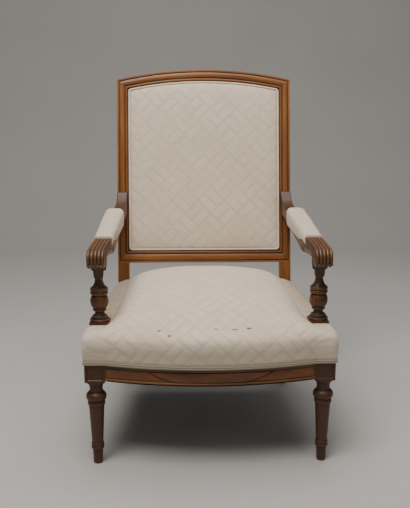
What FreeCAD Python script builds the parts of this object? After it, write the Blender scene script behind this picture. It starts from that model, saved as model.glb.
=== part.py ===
import FreeCAD, Part
import math
import os

V = FreeCAD.Vector

# An upholstered open armchair: a carved hardwood frame with turned front legs and turned
# arm supports, a sprung seat, an upholstered back panel and padded arms.
# Axes while it is built: X to the viewer's right, Y to the back with 0 on the axis of the
# front legs, Z up with 0 on the floor. Everything is moved to its centre when it is saved.
# Left and right are the viewer's left and right.

# Seat frame
rail_top = 300.0
rail_height = 67.0
rail_thickness = 30.0
rail_bow = 42.0
rail_bead = 6.0
rail_groove_depth = 4.5
rail_groove_width = 1.5
rail_band_depth = 3.0
rail_band_height = 25.0
tablet_half_top = 152.0
tablet_half_bottom = 87.0
tablet_end_sag = 6.0
tablet_depth = 1.2
rear_rail_thickness = 26.0
rear_rail_setback = 5.0

# Tenons
tenon_thickness = 12.0
tenon_height = 43.0
front_tenon_length = 21.0
side_tenon_length = 19.0
back_tenon_length = 18.0
joint_gap = 0.15

# Front legs, from the floor up
leg_axis_x = 290.0
leg_block = 52.0
leg_block_drop = 6.0
leg_block_arris = 2.0
block_panel_border = 6.5
block_panel_depth = 2.0
foot_height = 40.0
foot_bottom_radius = 10.8
foot_top_radius = 13.2
ankle_height = 17.0
ankle_radius = 16.4
shaft_bottom_radius = 14.4
shaft_top_radius = 19.6
collar_height = 12.0
collar_radius = 22.4
leg_torus_height = 24.0
leg_torus_radius = 26.0
leg_neck_height = 22.0
leg_neck_radius = 16.6
leg_cap_height = 9.0
leg_cap_radius = 24.0

# Rear posts and the back frame
post_width = 34.0
post_depth = 36.0
post_outer_x = 270.0
post_front_y = 489.6
rear_foot_width = 28.0
rear_foot_depth = 28.0
rear_foot_sweep = 70.0
rear_leg_sag = 16.0
back_rake = 11.9
back_bottom_z = 411.0
back_shoulder = 571.0
back_crown = 602.0
back_thickness = 30.0
top_rail_face = 35.0
lower_rail_face = 37.5
frame_fillet = 5.5
frame_groove = 2.0
frame_groove_depth = 3.5
frame_band_fall = 1.5
frame_bead = 8.0
rebate_width = 10.0
rebate_depth = 15.0

# Arm supports
support_axis_x = 282.0
support_axis_y = 63.0
shank_width = 34.0
cheek_drop = 44.0
plate_size = 51.0
plate_bottom_z = 359.0
plate_thickness = 5.0
base_ring_height = 7.0
base_ring_radius = 25.5
step_ring_height = 7.0
step_ring_radius = 21.0
waist_height = 13.0
waist_radius = 12.2
foot_disc_height = 6.0
foot_disc_radius = 17.5
vase_height = 37.0
vase_radius = 23.5
vase_top_radius = 17.0
cap_ring_height = 9.0
cap_ring_radius = 23.0
cone_height = 27.0
cone_base_radius = 20.0
cone_top_radius = 10.5
pin_radius = 7.0
pin_length = 22.0

# Arms
scroll_radius = 24.0
scroll_y = 22.0
scroll_z = 535.0
arm_front_width = 44.0
arm_front_centre = 283.0
arm_width = 40.0
arm_pad_centre = 272.5
tail_width = 31.0
tail_centre = 256.5
tail_flare = 11.0
tail_top_z = 627.4
tail_lip = 8.0
arm_end_bottom_z = 560.0
arm_mid_y = 200.0
arm_mid_bottom_z = 528.0
arm_top_front_z = 571.0
arm_top_rear_z = 583.0
pad_recess = 9.0
neck_size = 23.0
neck_top_z = 532.0
neck_rear_y = 138.0
reed_count = 5
reed_radius = 2.6
reed_depth = 1.9

# Arm pads
pad_front_y = 100.0
pad_rear_y = 440.0
pad_front_width = 47.0
pad_rear_width = 57.0
pad_front_rise = 5.0
pad_rear_rise = 17.0
pad_front_skirt = 20.0
pad_rear_skirt = 26.0
pad_brow = 1.2
pad_end_draw = 3.6
pad_end_run = 24.0
pad_gimp_width = 8.0

# Upholstery
cover_thickness = 2.0
soft_gap = 0.3
gimp_width = 12.0
gimp_thickness = 2.0
seat_edge_z = 358.7
seat_roll_z = 369.0
seat_crown_z = 440.0
seat_crown_y = 300.0
seat_crown_rear_z = 379.0
seat_bulge = 12.0
seat_side_bulge = 5.0
crease_gap = 3.0
crease_rear_x = 236.0
crown_flank = 50.0
crown_power = 2.6
crown_fullness = 0.75
crown_front_fullness = 0.25
hessian_thickness = 1.5
hessian_top_z = 336.0
webbing_width = 50.0
webbing_thickness = 1.5
webbing_count_x = 6
webbing_count_y = 5
tack_head_radius = 3.0
tack_head_height = 1.0
tack_radius = 0.9
tack_length = 11.0
bottom_cloth_thickness = 1.0
spring_wire_radius = 1.8
spring_end_radius = 36.0
spring_waist_radius = 24.0
spring_turns = 5
spring_pitch_x = 118.0
spring_pitch_y = 122.0
spring_centre_y = 238.0
back_pad_edge = 1.0
back_pad_crown = 16.0
back_pad_run = 170.0
back_pad_levels = 9
back_pad_corner = 3.0
back_pad_rounding = 0.3
piping_radius = 3.0
back_strip_width = 52.0
back_strip_thickness = 1.0
back_strip_pitch_x = 0.52
back_strip_pitch_y = 0.27
back_hessian_thickness = 1.0
outside_border = 22.0
outside_cloth = 1.5

# Corner braces and screws
brace_height = 18.0
brace_front_x = 190.0
brace_side_y = 118.0
brace_rear_x = 140.0
brace_rear_run = 92.0
screw_radius = 2.2
screw_head_radius = 4.4
screw_head_height = 2.6
screw_length = 34.0
screw_gap = 0.15
screw_in_brace = 14.0

# Sizes that follow from the ones above
rail_bottom = rail_top - rail_height
leg_half = leg_block / 2
leg_block_bottom = rail_bottom - leg_block_drop
leg_outer_x = leg_axis_x + leg_half
leg_inner_x = leg_axis_x - leg_half
bow_radius = (leg_inner_x ** 2 + rail_bow ** 2) / (2 * rail_bow)
bow_centre_y = bow_radius - rail_bow - leg_half
rail_front_y = -leg_half - rail_bow
post_inner_x = post_outer_x - post_width
post_rear_y = post_front_y + post_depth
side_run = post_front_y - leg_half
side_lean = (post_outer_x - leg_outer_x) / side_run
rear_rail_front_y = post_front_y + rear_rail_setback
rear_rail_back_y = rear_rail_front_y + rear_rail_thickness
rake = math.radians(back_rake)
back_front_y = post_front_y + (back_bottom_z - rail_top) * math.tan(rake)
crown_rise = back_crown - back_shoulder
top_radius = (post_outer_x ** 2 + crown_rise ** 2) / (2 * crown_rise)
top_centre_v = back_crown - top_radius
opening_half = post_outer_x - post_width
opening_radius = top_radius - top_rail_face
opening_corner_v = top_centre_v + math.sqrt(opening_radius ** 2 - opening_half ** 2)
support_top_z = (plate_bottom_z + plate_thickness + base_ring_height + step_ring_height
                 + waist_height + foot_disc_height + vase_height + 2 * cap_ring_height
                 + cone_height)
cover_offset = soft_gap + cover_thickness
crease_front_x = support_axis_x - plate_size / 2 - crease_gap


def line_and_arc_edges(plane, start, steps):
    """Edges from a start point through steps: one point is a line, two are an arc's
    middle and end. The plane function turns a flat pair into a point in space."""
    edges = []
    here = plane(*start)
    for step in steps:
        if len(step) == 1:
            there = plane(*step[0])
            edges.append(Part.LineSegment(here, there).toShape())
        else:
            there = plane(*step[1])
            edges.append(Part.Arc(here, plane(*step[0]), there).toShape())
        here = there
    return edges


def closed_wire(plane, start, steps):
    """A closed wire from a start point through line and arc steps, closed by a line."""
    last = steps[-1][-1]
    all_steps = list(steps)
    if math.dist(last, start) > 1e-6:
        all_steps.append((start,))
    return Part.Wire(line_and_arc_edges(plane, start, all_steps))


def flat_face(plane, start, steps):
    return Part.Face(closed_wire(plane, start, steps))


def plan(z):
    return lambda x, y: V(x, y, z)


def side_view(x):
    return lambda y, z: V(x, y, z)


def front_view(y):
    return lambda x, z: V(x, y, z)


def box(low, high):
    size = [b - a for a, b in zip(low, high)]
    return Part.makeBox(*size, V(*low))


def mirrored(shape):
    return shape.mirror(V(0, 0, 0), V(1, 0, 0))


def turned(x, y, outline):
    """A solid of revolution about the upright axis at x, y. The outline runs from the
    axis at its lowest height to the axis at its highest, as radius and height pairs."""
    start = (0.0, outline[0][-1][1])
    top = (0.0, outline[-1][-1][1])
    face = flat_face(lambda r, z: V(r, 0, z), start, list(outline) + [(top,)])
    solid = face.revolve(V(0, 0, 0), V(0, 0, 1), 360)
    solid.translate(V(x, y, 0))
    return solid


def side_x(y):
    """The outer face of a side rail at a depth y."""
    return leg_outer_x + side_lean * (y - leg_half)


def rail_section():
    """The seat rail's moulding as depth from its outer face and height: a bead below, a
    sunk band between two grooves, and a plain strip that carries the cover."""
    low = rail_bottom
    bead_top = low + rail_bead
    band_low = bead_top + rail_groove_width
    band_high = band_low + rail_band_height
    strip_low = band_high + rail_groove_width
    bead_flat = rail_band_depth
    steps = [
        ((bead_flat, low),),
        ((rail_band_depth * 0.4, low + rail_bead / 2), (bead_flat, bead_top)),
        ((rail_groove_depth, bead_top),),
        ((rail_groove_depth, band_low),),
        ((rail_band_depth, band_low),),
        ((rail_band_depth, band_high),),
        ((rail_groove_depth, band_high),),
        ((rail_groove_depth, strip_low),),
        ((0.0, strip_low),),
        ((0.0, rail_top),),
        ((rail_thickness, rail_top),),
    ]
    return (rail_thickness, low), steps


# Front legs

def leg_outline():
    foot = foot_height
    ankle = foot + ankle_height
    cap = leg_block_bottom - leg_cap_height
    neck = cap - leg_neck_height
    torus = neck - leg_torus_height
    collar = torus - collar_height
    shaft = collar - 2.0
    inset = 1.2
    return [
        ((foot_bottom_radius - inset, 0.0),),
        ((foot_bottom_radius, inset),),
        ((foot_top_radius, foot),),
        ((ankle_radius - inset, foot),),
        ((ankle_radius, foot + ankle_height / 2), (ankle_radius - inset, ankle)),
        ((shaft_bottom_radius, ankle + inset),),
        ((shaft_top_radius, shaft),),
        ((shaft_top_radius, collar),),
        ((collar_radius - inset, collar),),
        ((collar_radius, collar + collar_height / 2), (collar_radius - inset, torus)),
        ((shaft_top_radius, torus),),
        ((leg_torus_radius, torus + leg_torus_height / 2), (shaft_top_radius - inset, neck)),
        ((leg_neck_radius + inset, neck + inset),),
        ((leg_neck_radius, neck + leg_neck_height / 2), (leg_neck_radius + 3.0, cap)),
        ((leg_cap_radius - inset, cap + inset),),
        ((leg_cap_radius, leg_block_bottom),),
    ]


def front_tenon(side, gap):
    """The front rail's tenon into the leg block on one side, grown by a gap."""
    low = rail_bottom + (rail_height - tenon_height) / 2
    inner = side * (leg_inner_x - 2.0)
    outer = side * (leg_inner_x + front_tenon_length + gap)
    xs = sorted((inner, outer))
    return box((xs[0], -tenon_thickness - gap, low - gap),
               (xs[1], gap, low + tenon_height + gap))


def side_tenon(end, gap):
    """The right side rail's tenon into the leg block or into the rear post."""
    low = rail_bottom + (rail_height - tenon_height) / 2
    y = leg_half if end == "front" else post_front_y
    middle = side_x(y) - rail_thickness / 2
    half = tenon_thickness / 2
    if end == "front":
        y_low, y_high = y - side_tenon_length - gap, y + 2.0
    else:
        y_low, y_high = y - 2.0, y + side_tenon_length + gap
    return box((middle - half - gap, y_low, low - gap),
               (middle + half + gap, y_high, low + tenon_height + gap))


def front_leg():
    """The right front leg: turned shaft and square block in one piece of wood."""
    block = box((leg_inner_x, -leg_half, leg_block_bottom), (leg_outer_x, leg_half, rail_top))
    upright = [e for e in block.Edges if abs(e.tangentAt(0).z) > 0.9]
    block = block.makeFillet(leg_block_arris, upright)
    leg = block.fuse(turned(leg_axis_x, 0.0, leg_outline()))
    panel_low = leg_block_bottom + block_panel_border
    panel_high = rail_top - gimp_width * 2 - block_panel_border
    half = leg_half - block_panel_border
    deep = block_panel_depth
    front_panel = box((leg_axis_x - half, -leg_half - 1, panel_low),
                      (leg_axis_x + half, -leg_half + deep, panel_high))
    side_panel = box((leg_outer_x - deep, -half, panel_low),
                     (leg_outer_x + 1, half, panel_high))
    mortises = [front_tenon(1, joint_gap), side_tenon("front", joint_gap)]
    leg = leg.cut([front_panel, side_panel] + mortises)
    return leg.removeSplitter()


# Seat rails

def tablet_region():
    """The low tablet in the middle of the front rail, with hollow curved ends, as a prism
    that runs from front to back through the rail's band."""
    low = rail_bottom + rail_bead + rail_groove_width
    high = low + rail_band_height
    middle_x = (tablet_half_top + tablet_half_bottom) / 2 - tablet_end_sag
    middle_z = (low + high) / 2 - tablet_end_sag
    steps = [
        ((tablet_half_bottom, low),),
        ((middle_x, middle_z), (tablet_half_top, high)),
        ((-tablet_half_top, high),),
        ((-middle_x, middle_z), (-tablet_half_bottom, low)),
    ]
    face = flat_face(front_view(rail_front_y - 5), (-tablet_half_bottom, low), steps)
    return face.extrude(V(0, rail_bow + 20, 0))


def bowed(section, turn=20.0):
    """A flat section of depth and height swept about the centre of the front bow."""
    start, steps = section
    face = flat_face(lambda d, z: V(0, bow_centre_y - bow_radius + d, z), start, steps)
    centre = V(0, bow_centre_y, 0)
    face.rotate(centre, V(0, 0, 1), -turn)
    return face.revolve(centre, V(0, 0, 1), 2 * turn)


def front_rail():
    """The bowed front rail with its moulding, tablet and two tenons."""
    rail = bowed(rail_section())
    low = rail_bottom + rail_bead + rail_groove_width
    high = low + rail_band_height
    deep = rail_band_depth + 1.0
    tablet = bowed(((tablet_depth, low), [((tablet_depth, high),), ((deep, high),), ((deep, low),)]))
    rail = rail.fuse(tablet.common(tablet_region()))
    ends = box((-leg_inner_x, rail_front_y - 5, 0), (leg_inner_x, leg_half + 40, rail_top + 1))
    rail = rail.common(ends)
    rail = rail.fuse([front_tenon(1, 0.0), front_tenon(-1, 0.0)])
    return rail.removeSplitter()


def side_rail():
    """The right side rail: its moulding runs from the leg block to the rear post."""
    start, steps = rail_section()
    face = flat_face(lambda d, z: V(leg_outer_x - d, leg_half, z), start, steps)
    rail = face.extrude(V(side_lean * side_run, side_run, 0))
    rail = rail.fuse([side_tenon("front", 0.0), side_tenon("rear", 0.0)])
    return rail.removeSplitter()


def rear_tenon(side, gap):
    """The rear rail's short tenon into a rear post, grown by a gap."""
    low = rail_bottom + (rail_height - tenon_height) / 2
    side_tenon_inner = side_x(post_front_y) - (rail_thickness + tenon_thickness) / 2
    reach = side_tenon_inner - 3.0
    middle = (rear_rail_front_y + rear_rail_back_y) / 2
    xs = sorted((side * (post_inner_x - 2.0), side * (reach + gap)))
    half = tenon_thickness / 2
    return box((xs[0], middle - half - gap, low - gap),
               (xs[1], middle + half + gap, low + tenon_height + gap))


def rear_rail():
    """The plain rear seat rail between the two posts."""
    rail = box((-post_inner_x, rear_rail_front_y, rail_bottom),
               (post_inner_x, rear_rail_back_y, rail_top))
    rail = rail.fuse([rear_tenon(1, 0.0), rear_tenon(-1, 0.0)])
    return rail.removeSplitter()


# Back frame, drawn flat: X across, Y up the back, Z out of its front face

def raised(shape):
    """Leans a flat drawn back piece to its place on the chair."""
    done = shape.copy()
    turn = FreeCAD.Rotation(V(1, 0, 0), 90 - back_rake)
    done.Placement = FreeCAD.Placement(V(0, back_front_y, back_bottom_z), turn)
    return done


def frame_section(face):
    """The back frame's moulding as distance from the outer edge and height above the
    front face: fillet, groove, round band, groove, bead, then the rebate's ledge."""
    deep = -frame_groove_depth
    band_low = frame_fillet + frame_groove
    bead_low = face - 1.0 - frame_bead
    band_high = bead_low - frame_groove
    band_side = -frame_band_fall
    steps = [
        ((0.0, 0.0),),
        ((frame_fillet, 0.0),),
        ((frame_fillet, deep),),
        ((band_low, deep),),
        ((band_low, band_side),),
        (((band_low + band_high) / 2, 0.0), (band_high, band_side)),
        ((band_high, deep),),
        ((bead_low, deep),),
        ((bead_low + frame_bead / 2, deep + frame_bead * 0.42), (face - 1.0, deep)),
        ((face, deep),),
        ((face, -rebate_depth),),
        ((face + rebate_width, -rebate_depth),),
        ((face + rebate_width, -back_thickness),),
    ]
    return (0.0, -back_thickness), steps


def mitre_point(x):
    """Height of the upper mitre line at x, through the opening's and the outer corner."""
    slope = (back_shoulder - opening_corner_v) / (post_outer_x - opening_half)
    return back_shoulder + slope * (x - post_outer_x)


def upper_mitre(part):
    """The flat region of the top rail or of the right stile, as a thick plate."""
    far = post_outer_x + 25.0
    thick = back_thickness + 20.0
    plane = plan(-back_thickness - 10.0)
    if part == "rail":
        high = back_crown + 40.0
        steps = [((far, mitre_point(far)),), ((far, high),), ((-far, high),),
                 ((-far, mitre_point(far)),)]
    else:
        steps = [((far, mitre_point(far)),), ((far, -60.0),), ((0.0, -60.0),)]
    return flat_face(plane, (0.0, mitre_point(0.0)), steps).extrude(V(0, 0, thick))


def lower_mitre():
    """The corner of the right stile that carries the lower rail's moulding."""
    plane = plan(-back_thickness - 10.0)
    steps = [((post_outer_x, 0.0),), ((opening_half, 0.0),)]
    face = flat_face(plane, (opening_half, lower_rail_face), steps)
    return face.extrude(V(0, 0, back_thickness + 20.0))


def top_tenon(gap):
    """The top rail's tenon down into the right stile."""
    middle = post_outer_x - post_width * 0.45
    half = tenon_thickness / 2
    low = opening_corner_v - back_tenon_length - gap
    w_low = -rebate_depth - 7.0
    return box((middle - half - gap, low, w_low - gap),
               (middle + half + gap, mitre_point(middle - half) + 4.0, w_low + 10.0 + gap))


def lower_tenon(side, gap):
    """The lower back rail's tenon into a stile."""
    xs = sorted((side * (opening_half - 2.0), side * (opening_half + back_tenon_length + gap)))
    w_low = -rebate_depth - 7.0
    return box((xs[0], 8.0 - gap, w_low - gap),
               (xs[1], lower_rail_face - 8.0 + gap, w_low + 10.0 + gap))


def stile():
    """The moulded upper part of the right rear post, drawn flat."""
    start, steps = frame_section(post_width)
    face = flat_face(lambda a, w: V(post_outer_x - a, 0, w), start, steps)
    upright = face.extrude(V(0, back_crown + 30.0, 0))
    upright = upright.common(upper_mitre("stile"))
    corner = lower_mitre()
    ledge_end = box((0, -1, -back_thickness - 1),
                    (opening_half, lower_rail_face + rebate_width, 5))
    upright = upright.cut([corner, ledge_end])
    start, steps = frame_section(lower_rail_face)
    face = flat_face(lambda a, w: V(opening_half, a, w), start, steps)
    foot = face.extrude(V(post_width, 0, 0)).common(corner)
    return upright.fuse(foot)


def top_rail():
    """The arched top rail with a tenon at each end, drawn flat and then raised."""
    start, steps = frame_section(top_rail_face)
    face = flat_face(lambda a, w: V(0, top_centre_v + top_radius - a, w), start, steps)
    centre = V(0, top_centre_v, 0)
    turn = math.degrees(math.asin(post_outer_x / top_radius)) + 2.0
    face.rotate(centre, V(0, 0, 1), -turn)
    rail = face.revolve(centre, V(0, 0, 1), 2 * turn)
    rail = rail.common(upper_mitre("rail"))
    tenon = top_tenon(0.0)
    rail = rail.fuse([tenon, mirrored(tenon)])
    return raised(rail.removeSplitter())


def lower_back_rail():
    """The lower rail of the back frame, between the stiles."""
    start, steps = frame_section(lower_rail_face)
    face = flat_face(lambda a, w: V(-opening_half, a, w), start, steps)
    rail = face.extrude(V(2 * opening_half, 0, 0))
    rail = rail.fuse([lower_tenon(1, 0.0), lower_tenon(-1, 0.0)])
    return raised(rail.removeSplitter())


def arm_tenon(gap):
    """The right arm's tenon into the rear post, drawn flat."""
    low = (arm_end_bottom_z - back_bottom_z) / math.cos(rake) + 14.0
    high = (tail_top_z - back_bottom_z) / math.cos(rake) - 18.0
    half = tenon_thickness / 2
    return box((tail_centre - half - gap, low - gap, -back_tenon_length - gap),
               (tail_centre + half + gap, high + gap, 3.0))


def rear_post():
    """The right rear post: sabre leg, plain length at the seat, and moulded stile."""
    foot_front = post_front_y + rear_foot_sweep
    foot_back = foot_front + rear_foot_depth
    leg_middle = rail_bottom / 2
    front_middle = (foot_front + post_front_y) / 2 - rear_leg_sag
    back_middle = (foot_back + post_rear_y) / 2 - rear_leg_sag
    stile_back_y = back_front_y + back_thickness * math.cos(rake)
    stile_back_z = back_bottom_z - back_thickness * math.sin(rake)
    steps = [
        ((foot_back, 0.0),),
        ((back_middle, leg_middle), (post_rear_y, rail_bottom)),
        ((post_rear_y, rail_top),),
        ((stile_back_y, stile_back_z),),
        ((back_front_y, back_bottom_z),),
        ((post_front_y, rail_top),),
        ((post_front_y, rail_bottom),),
        ((front_middle, leg_middle), (foot_front, 0.0)),
    ]
    side = flat_face(side_view(post_inner_x - 5), (foot_front, 0.0), steps)
    side = side.extrude(V(post_width + 10, 0, 0))
    taper = (post_width - rear_foot_width) / 2
    steps = [
        ((post_outer_x - taper, 0.0),),
        ((post_outer_x, rail_bottom - 10.0),),
        ((post_outer_x, back_bottom_z + 5.0),),
        ((post_inner_x, back_bottom_z + 5.0),),
        ((post_inner_x, rail_bottom - 10.0),),
    ]
    front = flat_face(front_view(post_front_y - 50), (post_inner_x + taper, 0.0), steps)
    front = front.extrude(V(0, rear_foot_sweep + 200, 0))
    upper = stile().cut([top_tenon(joint_gap), lower_tenon(1, joint_gap), arm_tenon(joint_gap)])
    post = side.common(front).fuse(raised(upper))
    post = post.cut([side_tenon("rear", joint_gap), rear_tenon(1, joint_gap)])
    return post.removeSplitter()


# Arm supports

def support_outline():
    """The turned part of an arm support above its square plate."""
    ring = plate_bottom_z + plate_thickness
    step = ring + base_ring_height
    waist = step + step_ring_height
    disc = waist + waist_height
    vase = disc + foot_disc_height
    cap = vase + vase_height
    cap_two = cap + cap_ring_height
    cone = cap_two + cap_ring_height
    top = cone + cone_height
    inset = 1.5
    return [
        ((base_ring_radius - inset, ring - 1.0),),
        ((base_ring_radius - inset, ring),),
        ((base_ring_radius, ring + base_ring_height / 2), (base_ring_radius - inset, step)),
        ((step_ring_radius, step),),
        ((step_ring_radius - inset, waist),),
        ((waist_radius, waist + waist_height * 0.6), (waist_radius + inset, disc)),
        ((foot_disc_radius - inset, disc),),
        ((foot_disc_radius, disc + foot_disc_height / 2), (foot_disc_radius - inset, vase)),
        ((vase_radius, vase + vase_height * 0.45), (vase_top_radius, cap)),
        ((cap_ring_radius - inset, cap),),
        ((cap_ring_radius, cap + cap_ring_height / 2), (cap_ring_radius - inset, cap_two)),
        ((cap_ring_radius - 2 * inset, cap_two),),
        ((cap_ring_radius, cap_two + cap_ring_height / 2), (cap_ring_radius - inset, cone)),
        ((cone_base_radius, cone),),
        ((cone_top_radius + inset, cone + cone_height * 0.45), (cone_top_radius, top)),
        ((pin_radius, top),),
        ((pin_radius, top + pin_length),),
    ]


def shank_box(gap):
    """The square shank of the right arm support from the rail up to its plate."""
    half = shank_width / 2 + gap
    return box((support_axis_x - half, support_axis_y - half, rail_top),
               (support_axis_x + half, support_axis_y + half, plate_bottom_z + 1.0))


def plate_box(gap):
    """The square plate of the right arm support."""
    half = plate_size / 2 + gap
    return box((support_axis_x - half, support_axis_y - half, plate_bottom_z - gap),
               (support_axis_x + half, support_axis_y + half, plate_bottom_z + plate_thickness))


def cheek(gap):
    """The part of the shank that runs down the inner face of the side rail."""
    half = shank_width / 2
    low_y = support_axis_y - half - gap
    high_y = support_axis_y + half + gap
    inner = support_axis_x - half - gap
    steps = [
        ((side_x(low_y) - rail_thickness, low_y),),
        ((side_x(high_y) - rail_thickness, high_y),),
        ((inner, high_y),),
    ]
    face = flat_face(plan(rail_top - cheek_drop - gap), (inner, low_y), steps)
    return face.extrude(V(0, 0, cheek_drop + gap))


def support_screw(level, grow):
    """A screw through the cheek into the right side rail at a height."""
    head_x = support_axis_x - shank_width / 2
    return screw((head_x, support_axis_y, level), (1, 0, 0), grow)


def support_screw_levels():
    return [rail_top - cheek_drop * 0.3, rail_top - cheek_drop * 0.72]


def arm_post():
    """The right arm support: cheek, shank, plate and turned baluster in one piece."""
    post = turned(support_axis_x, support_axis_y, support_outline())
    post = post.fuse([shank_box(0.0), plate_box(0.0), cheek(0.0)])
    post = post.cut([support_screw(z, screw_gap) for z in support_screw_levels()])
    return post.removeSplitter()


# Arms

def arm_plan():
    """The right arm seen from above, as a tall prism."""
    front_half = arm_front_width / 2
    half = arm_width / 2
    tail_half = tail_width / 2
    end_y = back_front_y + (tail_top_z - back_bottom_z) * math.tan(rake) + 2.0
    low_y = scroll_y - scroll_radius - 2.0
    steps = [
        ((arm_front_centre + front_half, low_y),),
        ((arm_front_centre + front_half, scroll_y),),
        ((arm_pad_centre + half, pad_front_y),),
        ((arm_pad_centre + half, pad_rear_y),),
        ((tail_centre + tail_half + tail_flare, end_y - 16.0),),
        ((tail_centre + tail_half, end_y),),
        ((tail_centre - tail_half, end_y),),
        ((arm_pad_centre - half, pad_rear_y),),
        ((arm_pad_centre - half, pad_front_y),),
        ((arm_front_centre - front_half, scroll_y),),
    ]
    face = flat_face(plan(400.0), (arm_front_centre - front_half, low_y), steps)
    return face.extrude(V(0, 0, 300.0))


def stile_front(z):
    """Depth of the back frame's front face at a height."""
    return back_front_y + (z - back_bottom_z) * math.tan(rake)


def arm_profile():
    """The right arm seen from the side: scroll, top, pad recess and swept tail."""
    behind = scroll_y + scroll_radius * math.cos(0.25)
    under = scroll_z - scroll_radius * math.sin(0.25)
    rear_z = arm_top_rear_z
    slope = (rear_z - arm_top_front_z) / (pad_rear_y - pad_front_y)
    tail_y = stile_front(tail_top_z)
    steps = [
        ((arm_mid_y, arm_mid_bottom_z),),
        ((neck_rear_y, neck_top_z - 8.0),),
        ((behind, under),),
        ((scroll_y, scroll_z - scroll_radius), (scroll_y - scroll_radius, scroll_z)),
        ((scroll_y - scroll_radius * math.sin(0.785), scroll_z + scroll_radius * math.sin(0.785)),
         (scroll_y, scroll_z + scroll_radius)),
        ((scroll_y + 38.0, scroll_z + scroll_radius + 8.5), (pad_front_y, arm_top_front_z)),
        ((pad_front_y, arm_top_front_z - pad_recess),),
        ((pad_rear_y, rear_z - pad_recess),),
        ((pad_rear_y, rear_z),),
        ((pad_rear_y + 70.0, rear_z + 70.0 * slope + 8.0), (tail_y - tail_lip, tail_top_z)),
        ((tail_y, tail_top_z),),
    ]
    start = (stile_front(arm_end_bottom_z), arm_end_bottom_z)
    face = flat_face(side_view(200.0), start, steps)
    return face.extrude(V(150.0, 0, 0))


def arm_neck():
    """The arm's neck: it narrows on all sides down to the arm support."""
    half = neck_size / 2
    low = support_top_z
    front_y = support_axis_y - half
    rear_y = support_axis_y + half
    rise = neck_top_z - low
    steps = [
        ((rear_y, low),),
        ((rear_y + 14.0, low + rise * 0.62), (neck_rear_y, neck_top_z)),
        ((scroll_y + 8.0, neck_top_z),),
        ((scroll_y + scroll_radius, low + rise * 0.55),),
    ]
    side = flat_face(side_view(200.0), (front_y, low), steps).extrude(V(150.0, 0, 0))
    inner = arm_front_centre - arm_front_width / 2 - 5.0
    outer = arm_front_centre + arm_front_width / 2 - 6.0
    steps = [
        ((support_axis_x + half, low),),
        ((support_axis_x + half + 3.0, low + rise * 0.5), (outer, neck_top_z)),
        ((inner, neck_top_z),),
        ((support_axis_x - half - 5.0, low + rise * 0.5), (support_axis_x - half, low)),
    ]
    front = flat_face(front_view(0.0), (support_axis_x - half, low), steps)
    return side.common(front.extrude(V(0, 200.0, 0)))


def reed_grooves():
    """Round bottomed grooves that part the reeds: each is a chain of a slanted rod on the
    top and a ring segment round the scroll."""
    grooves = []
    ring_radius = scroll_radius + reed_radius - reed_depth
    for number in range(1, reed_count):
        share = number / reed_count - 0.5
        x_front = arm_front_centre + share * arm_front_width
        x_rear = arm_pad_centre + share * arm_width
        ring = Part.makeTorus(ring_radius, reed_radius, V(x_front, scroll_y, scroll_z), V(1, 0, 0))
        keep = box((x_front - 5, -50, scroll_z - 40), (x_front + 5, scroll_y + 3, scroll_z + 40))
        grooves.append(ring.common(keep))
        lift = reed_radius - reed_depth
        start = V(x_front, scroll_y, scroll_z + scroll_radius + lift)
        end = V(x_rear, pad_front_y - 1.0, arm_top_front_z + lift)
        reach = end - start
        grooves.append(Part.makeCylinder(reed_radius, reach.Length, start, reach))
    return grooves


def pin_hole():
    return Part.makeCylinder(pin_radius + joint_gap, pin_length + 1.0,
                             V(support_axis_x, support_axis_y, support_top_z - 0.5))


def arm():
    """The right arm rest, in one piece from scroll to tenon."""
    body = arm_plan().common(arm_profile())
    body = body.fuse([arm_neck(), raised(arm_tenon(0.0))])
    body = body.cut([pin_hole()] + reed_grooves())
    return body.removeSplitter()


# Screws and corner braces

def screw(head, direction, grow):
    """A countersunk wood screw whose head lies at a point. With a gap to grow by, it is
    the hole for that screw, open at its head."""
    axis = V(*direction)
    start = V(*head)
    shank = Part.makeCylinder(screw_radius + grow, screw_length + grow, start, axis)
    cone = Part.makeCone(screw_head_radius + grow, screw_radius + grow, screw_head_height,
                         start, axis)
    solid = shank.fuse(cone)
    if grow:
        solid = solid.fuse(Part.makeCylinder(screw_head_radius + grow, 60.0, start, axis * -1))
    return solid.removeSplitter()


def front_brace():
    """The right front corner brace: it fits round the leg block."""
    gap = soft_gap
    block_inner = leg_inner_x - gap
    block_rear = leg_half + gap
    steps = [
        ((block_inner, rail_front_y),),
        ((block_inner, block_rear),),
        ((side_x(block_rear) - rail_thickness, block_rear),),
        ((side_x(brace_side_y) - rail_thickness, brace_side_y),),
    ]
    start = (brace_front_x, rail_front_y)
    face = flat_face(plan(rail_bottom), start, steps)
    brace = face.extrude(V(0, 0, brace_height))
    inside = Part.makeCylinder(bow_radius - rail_thickness - gap, brace_height + 2,
                               V(0, bow_centre_y, rail_bottom - 1))
    return brace.common(inside)


def rear_brace():
    """The right rear corner brace, against the rear post, rear rail and side rail."""
    gap = soft_gap
    near_post = post_front_y - gap
    near_rail = rear_rail_front_y
    run_y = post_front_y - brace_rear_run
    steps = [
        ((post_inner_x - gap, near_rail),),
        ((post_inner_x - gap, near_post),),
        ((side_x(near_post) - rail_thickness, near_post),),
        ((side_x(run_y) - rail_thickness, run_y),),
    ]
    face = flat_face(plan(rail_bottom), (brace_rear_x, near_rail), steps)
    return face.extrude(V(0, 0, brace_height))


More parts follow.
